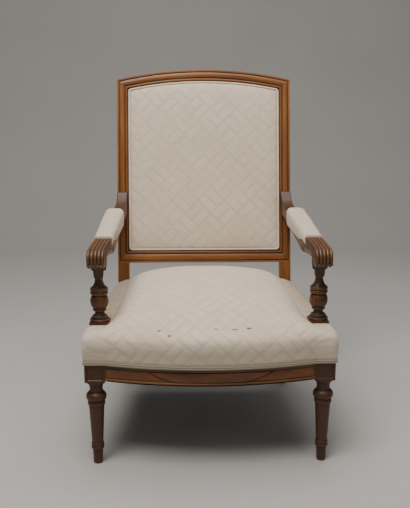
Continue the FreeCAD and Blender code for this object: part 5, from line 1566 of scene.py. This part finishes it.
def arm_pad():
    """Rings along the arm. At the front the ring shrinks within the end plane, with a
    soft edge; at the rear it closes like a quarter of an ellipse."""
    front = np.linspace(0, math.pi / 2, 9)
    rear = np.linspace(0, math.pi / 2, 21)
    whole = np.ones(114)
    y = np.concatenate([np.full(6, pad_front_y), pad_front_y + 5.0 * (1 - np.cos(front)),
                        np.linspace(pad_front_y + 5, pad_rear_y - 28, 116)[1:-1],
                        pad_rear_y - 28 + 28 * np.sin(rear)])
    face = np.linspace(0.02, 0.72, 6)
    wide = np.concatenate([face, 0.80 + 0.20 * np.sin(front), whole, np.cos(rear) ** 0.8])
    tall = np.concatenate([face, 0.82 + 0.18 * np.sin(front), whole, np.cos(rear) ** 0.55])
    share = (y - pad_front_y) / (pad_rear_y - pad_front_y)
    rings = np.array([pad_ring(s) for s in share])
    middle = np.array([(along_pad(s)[4], along_pad(s)[3] - 14.0) for s in share])[:, None]
    x, z = (middle + (rings - middle) * np.stack([wide, tall], -1)[:, None]).transpose(2, 0, 1)
    sway = np.sin(y / 23 + 1)[:, None] * np.sin(x / 9) + 0.7 * np.sin(y / 41)[:, None]
    z = z + 0.55 * sway * (z > rings[..., 1].mean())
    return joined(x, y[:, None], z)


pad_points = arm_pad()
steps = np.linalg.norm(np.diff(pad_points, axis=1, append=pad_points[:, :1]), axis=-1)
round_run = np.concatenate([np.zeros((len(steps), 1)), np.cumsum(steps, 1)], 1)
pad_cloth = joined(round_run, pad_points[:, :1, 1])
# Painted shade: the pad is marked hollow near its lowest edge, where the cloth turns under
low_edge = np.exp(-(pad_points[..., 2] - pad_points[..., 2].min(1, keepdims=True)) / 3.0)
right_pad = Surface(pad_points, (False, True), hollow=0.5 * low_edge, cloth=pad_cloth)
for side, surface in (("right", right_pad), ("left", right_pad.mirrored())):
    nodes = ["arm_pad_cover_" + side, "arm_pad_stuffing_" + side]
    pad = piece("arm_pad_cloth_" + side, [surface], pad_finish, nodes)

# %% [markdown]
# ## Gimps
# A woven braid hides every raw edge: along the seat's skirt, round the outside back and at
# the front of the arm pads. It is a strip carried along its path. Across the strip its
# height is a low arch, and two waves that cross each other make the braid.

# %% Braid strip
def braid_strip(path, out, up, width, lift, pitch=7.0):
    """A strip centred on a path in space. At a share t across and a length s along, the
    strip stands out by lift * sin(pi t) ** 0.6 plus the higher of two crossing cords, and
    its edges wave in small scallops."""
    run = np.concatenate([[0], np.cumsum(np.linalg.norm(np.diff(path, axis=0), axis=1))])[:, None]
    t = np.linspace(0, 1, 15)[None]
    weave = 2 * math.pi * run / pitch
    first = np.exp(-((t - 0.5 - 0.27 * np.sin(weave)) / 0.09) ** 2)
    second = np.exp(-((t - 0.5 + 0.27 * np.sin(weave)) / 0.09) ** 2)
    rim = np.exp(-((np.abs(t - 0.5) - 0.45) / 0.05) ** 2) * (0.6 + 0.4 * np.sin(2 * weave))
    relief = np.maximum(np.maximum(first, second), 0.8 * rim)
    height = lift * np.sin(math.pi * t) ** 0.45 * (0.30 + 0.70 * relief)
    scallop = 0.97 + 0.10 * np.abs(np.sin(weave))
    across = (t - 0.5) * width * scallop
    points = path[:, None] + up[:, None] * across[..., None] + out[:, None] * height[..., None]
    cloth = joined(run, t * width)
    # The hollow mark is set in the gaps between the cords, where the finish paints shade
    return Surface(points, cloth=cloth, hollow=np.clip(1.3 - 1.7 * relief, 0, 1))


def beside(path, upward):
    """Outward unit vectors of a path: its direction crossed with the upward vectors."""
    way = np.gradient(path, axis=0)
    out = np.cross(way, upward)
    return out / np.linalg.norm(out, axis=1, keepdims=True)


def spaced(path, step):
    """A path in space resampled to even steps."""
    run = np.concatenate([[0], np.cumsum(np.linalg.norm(np.diff(path, axis=0), axis=1))])
    at = np.linspace(0, run[-1], int(run[-1] / step) + 1)
    return np.stack([np.interp(at, run, path[:, k]) for k in range(3)], -1)


front_count, gimp_z = 162, 280.0
half_front = half_outline(2.4, 2.4, 2.4, 5.0)[:front_count]
whole = np.concatenate([half_front[::-1], half_front[1:] * (-1, 1)])
path = spaced(joined(whole[:, 0], whole[:, 1], gimp_z), 1.1)
upright = np.array([[0.0, 0.0, 1.0]])
front_gimp = braid_strip(path, -beside(path, upright + 0 * path), upright, 12.0, 2.9, pitch=12.5)
rear_path = joined(np.linspace(234.5, -234.5, 420), rear_rail_back_y + 2.4, gimp_z)
rear_gimp = braid_strip(rear_path, np.array([[0.0, 1.0, 0.0]]), upright, 12.0, 2.9, pitch=12.5)
piece("seat_gimp_braid", [front_gimp, rear_gimp], gimp_finish, ["seat_gimp"],
      outward=False)

# %% [markdown]
# The front of each arm pad has a short piece of the same braid. It leans back, because it
# covers the step between the cloth and the reeds.

# %% Pad gimp
pad_edge = joined(np.linspace(-22.0, 22.0, 60) + 273.5, pad_front_y - 1.4, 572.5)
pad_out = np.array([[0.0, -math.cos(0.5), math.sin(0.5)]])
pad_up = np.array([[0.0, math.sin(0.5), math.cos(0.5)]])
pad_strip = braid_strip(pad_edge, pad_out, pad_up, 7.5, 2.0, pitch=8.0)
piece("arm_pad_gimp_braid", [pad_strip, pad_strip.mirrored()], gimp_finish,
      ["arm_pad_gimp"], outward=False)

# %% [markdown]
# ## Outside back
# The outside of the back is a flat cloth over the frame's rear, edged with the same gimp.
# It is filled with rings that shrink to one point, so its edge follows the arch exactly.

# %% Outside back
def filled(loop, middle, count):
    """Rings that shrink from a loop to a middle point."""
    share = np.linspace(0, 1, count)[:, None, None]
    return loop[None] + (middle - loop)[None] * share


outside_edge = back_loop(-21.0, 6.0, 480)
flat = filled(outside_edge, np.array([0.0, 300.0]), 60)
sway = np.sin(flat[..., 0] / 71) * np.sin(flat[..., 1] / 83) * np.linspace(0, 1, 60)[:, None]
wall = np.stack([outside_edge, outside_edge])
points = leaned(flat[..., 0], flat[..., 1], -back_thickness - 1.5 + 0.25 * sway)
edge_points = leaned(wall[..., 0], wall[..., 1], np.array([[-back_thickness], [-back_thickness - 1.5]]))
outside = [Surface(points, (False, True), cloth=np.concatenate([flat, flat[:, :1]], 1)),
           Surface(edge_points, (False, True), cloth=np.concatenate([wall, wall[:, :1]], 1))]
piece("outside_back_cloth", outside, plain_damask, ["outside_back_cover"], outward=False)
gimp_loop = back_loop(-16.0, 10.0, 1900)
gimp_path = leaned(gimp_loop[:, 0], gimp_loop[:, 1], -back_thickness - 1.6)
way_out = (leaned(0.0, 0.0, -1.0) - leaned(0.0, 0.0, 0.0))[None]
closed = np.concatenate([gimp_path, gimp_path[:1]])
outside_gimp = braid_strip(closed, way_out, beside(closed, way_out + 0 * closed), 11.6, 2.0)
piece("outside_back_braid", [outside_gimp], gimp_finish, ["outside_back_gimp"],
      outward=False)

# %% [markdown]
# ## Cloth below the seat
# A dark cloth is tacked under the rails, cut out round the legs and the posts. A plane
# under cloth simulation would sag in the same way. Its edges are all held, so a grid
# whose height is a product of two parabolas gives the same form at once.

# %% Cloth below
def bottom_cloth(sag, inset=7.5):
    """Rows from front to rear on x = half * s, y = front + (rear - front) * t. The row's
    half width steps in at the legs and the posts, and the cloth hangs by
    sag * (1 - s**2) * 4 t (1 - t) below the tack heads."""
    y = np.concatenate([np.linspace(-leg_half, leg_half + 1, 12),
                        np.linspace(leg_half + 1, post_front_y - 1, 60),
                        np.linspace(post_front_y - 1, rear_rail_back_y - inset, 8)])
    side = np.interp(y, [leg_half, post_front_y], [leg_outer_x, post_outer_x]) - inset
    half = np.where(np.arange(80) < 12, leg_inner_x - 1.0, side)
    half = np.where(np.arange(80) < 72, half, post_inner_x - 1.0)[:, None]
    s = np.linspace(-1, 1, 61)[None]
    bow = np.sqrt((bow_radius - inset) ** 2 - (half * s) ** 2)
    t = ((y + leg_half) / (y[-1] + leg_half))[:, None]
    rows = y[:, None] + (bow_centre_y - bow + leg_half) * (1 - t) ** 6
    z = tack_heads_z - 0.3 - sag * (1 - s ** 2) * 4 * t * (1 - t)
    return joined(half * s, rows, z)


tack_heads_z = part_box("bottom_cloth")[1].z * 1000
below = bottom_cloth(5.0)
under = piece("bottom_cloth_sheet", [Surface(below, cloth=below[..., :2])], under_cloth,
              ["bottom_cloth"], outward=False)

# %% [markdown]
# ## Hidden work
# Rails behind the fabric, webbing, springs and screws keep the CAD's own shapes. They get
# their finishes here: plain wood, jute, steel and coppered wire.

# %% Finishes of the CAD nodes
def dress(nodes, material):
    """Puts one finish in the only material slot of each CAD node."""
    for node in nodes:
        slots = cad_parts[node].data.materials
        slots.clear()
        slots.append(material)


dress(["rear_rail"], plain_wood_x)
dress(["corner_braces"], plain_wood_y)
dress(["corner_brace_screws", "arm_post_screws"], screw_steel)
dress(["webbing_tacks"], blued_steel)
dress(["seat_springs"], coppered_wire)
dress(["webbing_front_to_back", "webbing_side_to_side", "back_webbing"], jute)
print("CAD nodes dressed")

# %% [markdown]
# ## Floor
# A photographer's paper roll curves up behind its subject, so the picture has no hard
# horizon. This floor does the same behind the chair, as one strip with a quarter circle in
# it. That holds for the camera below. From the sides the end of the curve shows, and from
# behind the far edge of the floor is a low horizon, because the strip curves up only once.

# %% Floor
bend = np.linspace(0, math.pi / 2, 24)
curve = joined(2600 + 1200 * np.sin(bend), 1200 - 1200 * np.cos(bend))
strip = np.concatenate([[(-30000.0, 0.0), (2600.0, 0.0)], curve, [(3800.0, 5200.0)]])
floor_grid = joined(np.array([[-30000.0], [30000.0]]), strip[None, :, 0], strip[None, :, 1])
floor_mesh = bpy.data.meshes.new("floor")
count = len(strip)
a = np.arange(count - 1)
faces = joined(a, a + count, a + count + 1, a + 1).tolist()
floor_mesh.from_pydata(to_row(floor_grid).reshape(-1, 3), [], faces)
floor_mesh.polygons.foreach_set("use_smooth", np.ones(count - 1, bool))
floor = bpy.data.objects.new("floor", floor_mesh)
bpy.context.scene.collection.objects.link(floor)
pale = Finish("pale_floor")
speck = pale.noise(pale.seen(), 3.0, 4.0)
paper = pale.mix((0.47, 0.465, 0.455, 1), (0.52, 0.515, 0.50, 1), speck)
floor_mesh.materials.append(pale.finish(paper, 0.9 - 0.1 * speck))
print("floor faces:", len(floor_mesh.polygons))
